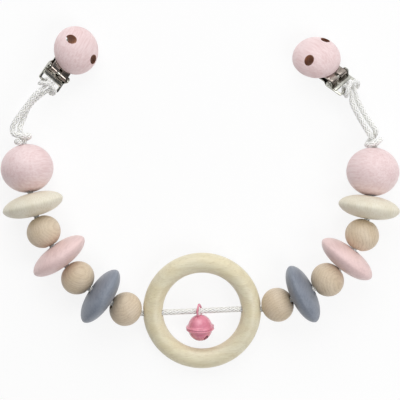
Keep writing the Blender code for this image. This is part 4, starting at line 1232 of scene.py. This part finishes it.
class ToyLook(bpy.types.PropertyGroup):
    """Colours and the braid of the toy."""

    blush: paint("Blush", "Lacquer of the end beads and buttons", 237, 215, 215)
    pink: paint("Pink", "Lacquer of the pink lens beads", 232, 204, 201)
    grey: paint("Grey", "Lacquer of the grey lens beads", 129, 136, 148)
    enamel: paint("Enamel", "Enamel of the bell", 232, 148, 168)
    cord: paint("Cord", "Yarn of the braided cord", 250, 250, 247)
    strands: IntProperty(
        name="Strands", description="Strands of the braid that run each way round",
        default=6, min=4, max=16,
    )
    stitch: FloatProperty(
        name="Stitch", description="Length along the cord between two strands",
        default=2.3 * MM, min=0.5 * MM, max=5 * MM, unit="LENGTH", precision=5,
    )
    relief: FloatProperty(
        name="Relief", description="Depth of the hollows between the strands",
        default=0.36 * MM, min=0, max=0.6 * MM, unit="LENGTH", precision=5,
    )


class ToyStage(bpy.types.PropertyGroup):
    """Camera and lights."""

    camera_height: FloatProperty(
        name="Camera height", description="Height of the camera over the floor",
        default=0.90, min=0.3, max=3, unit="LENGTH",
    )
    view_width: FloatProperty(
        name="View width", description="Width of what the camera sees at the beads",
        default=0.234, min=0.1, max=1, unit="LENGTH",
    )
    key_power: FloatProperty(
        name="Key light", description="Power of the large light", default=3.9, min=0, max=50,
        unit="POWER",
    )
    fill_power: FloatProperty(
        name="Fill light", description="Power of the small light", default=3.8, min=0, max=50,
        unit="POWER",
    )
    sky: FloatProperty(
        name="Sky", description="Strength of the light from all round", default=1.0, min=0, max=2,
    )


class TOY_OT_camera(bpy.types.Operator):
    """Put the camera straight above the toy"""

    bl_idname = "toy.camera"
    bl_label = "Camera"

    def execute(self, context):
        stage = context.scene.toy_stage
        make_camera(stage.camera_height, stage.view_width)
        return {"FINISHED"}


class TOY_OT_cord(bpy.types.Operator):
    """Braid the cord along its route"""

    bl_idname = "toy.cord"
    bl_label = "Cord"

    def execute(self, context):
        make_cord(context.scene.toy_look)
        return {"FINISHED"}


class TOY_OT_beads(bpy.types.Operator):
    """Turn the fourteen beads"""

    bl_idname = "toy.beads"
    bl_label = "Beads"

    def execute(self, context):
        for i, side in enumerate(SIDES):
            for piece, shape, finish, *grains in CHAIN:
                make_bead(f"{side}_{piece}", shape, finish, *grains[i])
        return {"FINISHED"}


class TOY_OT_ring(bpy.types.Operator):
    """Turn and drill the grasping ring"""

    bl_idname = "toy.ring"
    bl_label = "Grasping ring"

    def execute(self, context):
        make_ring()
        return {"FINISHED"}


class TOY_OT_bell(bpy.types.Operator):
    """Press the bell's shells and bend its staple"""

    bl_idname = "toy.bell"
    bl_label = "Bell"

    def execute(self, context):
        make_bell()
        return {"FINISHED"}


class TOY_OT_clips(bpy.types.Operator):
    """Build both clips"""

    bl_idname = "toy.clips"
    bl_label = "Clips"

    def execute(self, context):
        for side in SIDES:
            make_clip(side)
        return {"FINISHED"}


class TOY_OT_hardware(bpy.types.Operator):
    """Give the small pieces of the model their materials"""

    bl_idname = "toy.hardware"
    bl_label = "Small hardware"

    def execute(self, context):
        finishes = {"bell_pellet": "dark_nickel"}
        for side in SIDES:
            finishes[side + "_clip_rivet"] = "nickel"
            finishes[side + "_clip_jaw_pad"] = "pad"
        for node, finish in finishes.items():
            mesh = frame["nodes"][node].data
            mesh.materials.clear()
            mesh.materials.append(material(finish))
        return {"FINISHED"}


class TOY_OT_stage(bpy.types.Operator):
    """Lay the pale floor and hang the lights"""

    bl_idname = "toy.stage"
    bl_label = "Stage"

    def execute(self, context):
        stage = context.scene.toy_stage
        make_floor()
        make_sky(stage.sky)
        make_light("key_light", KEY_SPOT, KEY_SIZE, stage.key_power)
        make_light("fill_light", FILL_SPOT, FILL_SIZE, stage.fill_power)
        return {"FINISHED"}


class TOY_PT_panel(bpy.types.Panel):
    """The toy's settings and steps"""

    bl_idname = "TOY_PT_panel"
    bl_label = "Pram chain toy"
    bl_space_type = "VIEW_3D"
    bl_region_type = "UI"
    bl_category = "Toy"

    def draw(self, context):
        for group in (context.scene.toy_look, context.scene.toy_stage):
            box = self.layout.box()
            for name in group.__annotations__:
                box.prop(group, name)
        for step in STEPS:
            self.layout.operator(step.bl_idname)


STEPS = (
    TOY_OT_camera,
    TOY_OT_cord,
    TOY_OT_beads,
    TOY_OT_ring,
    TOY_OT_bell,
    TOY_OT_clips,
    TOY_OT_hardware,
    TOY_OT_stage,
)
CLASSES = (ToyLook, ToyStage, *STEPS, TOY_PT_panel)


def register():
    for one in CLASSES:
        bpy.utils.register_class(one)
    bpy.types.Scene.toy_look = PointerProperty(type=ToyLook)
    bpy.types.Scene.toy_stage = PointerProperty(type=ToyStage)


def unregister():
    del bpy.types.Scene.toy_look
    del bpy.types.Scene.toy_stage
    for one in reversed(CLASSES):
        bpy.utils.unregister_class(one)


def main():
    """Build everything."""
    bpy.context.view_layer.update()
    register()
    bpy.context.scene.view_settings.view_transform = "Standard"
    bpy.ops.toy.camera()
    bpy.ops.toy.cord()
    bpy.ops.toy.beads()
    bpy.ops.toy.ring()
    bpy.ops.toy.bell()
    bpy.ops.toy.clips()
    bpy.ops.toy.hardware()
    bpy.ops.toy.stage()
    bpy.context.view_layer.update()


if __name__ == "__main__":
    main()
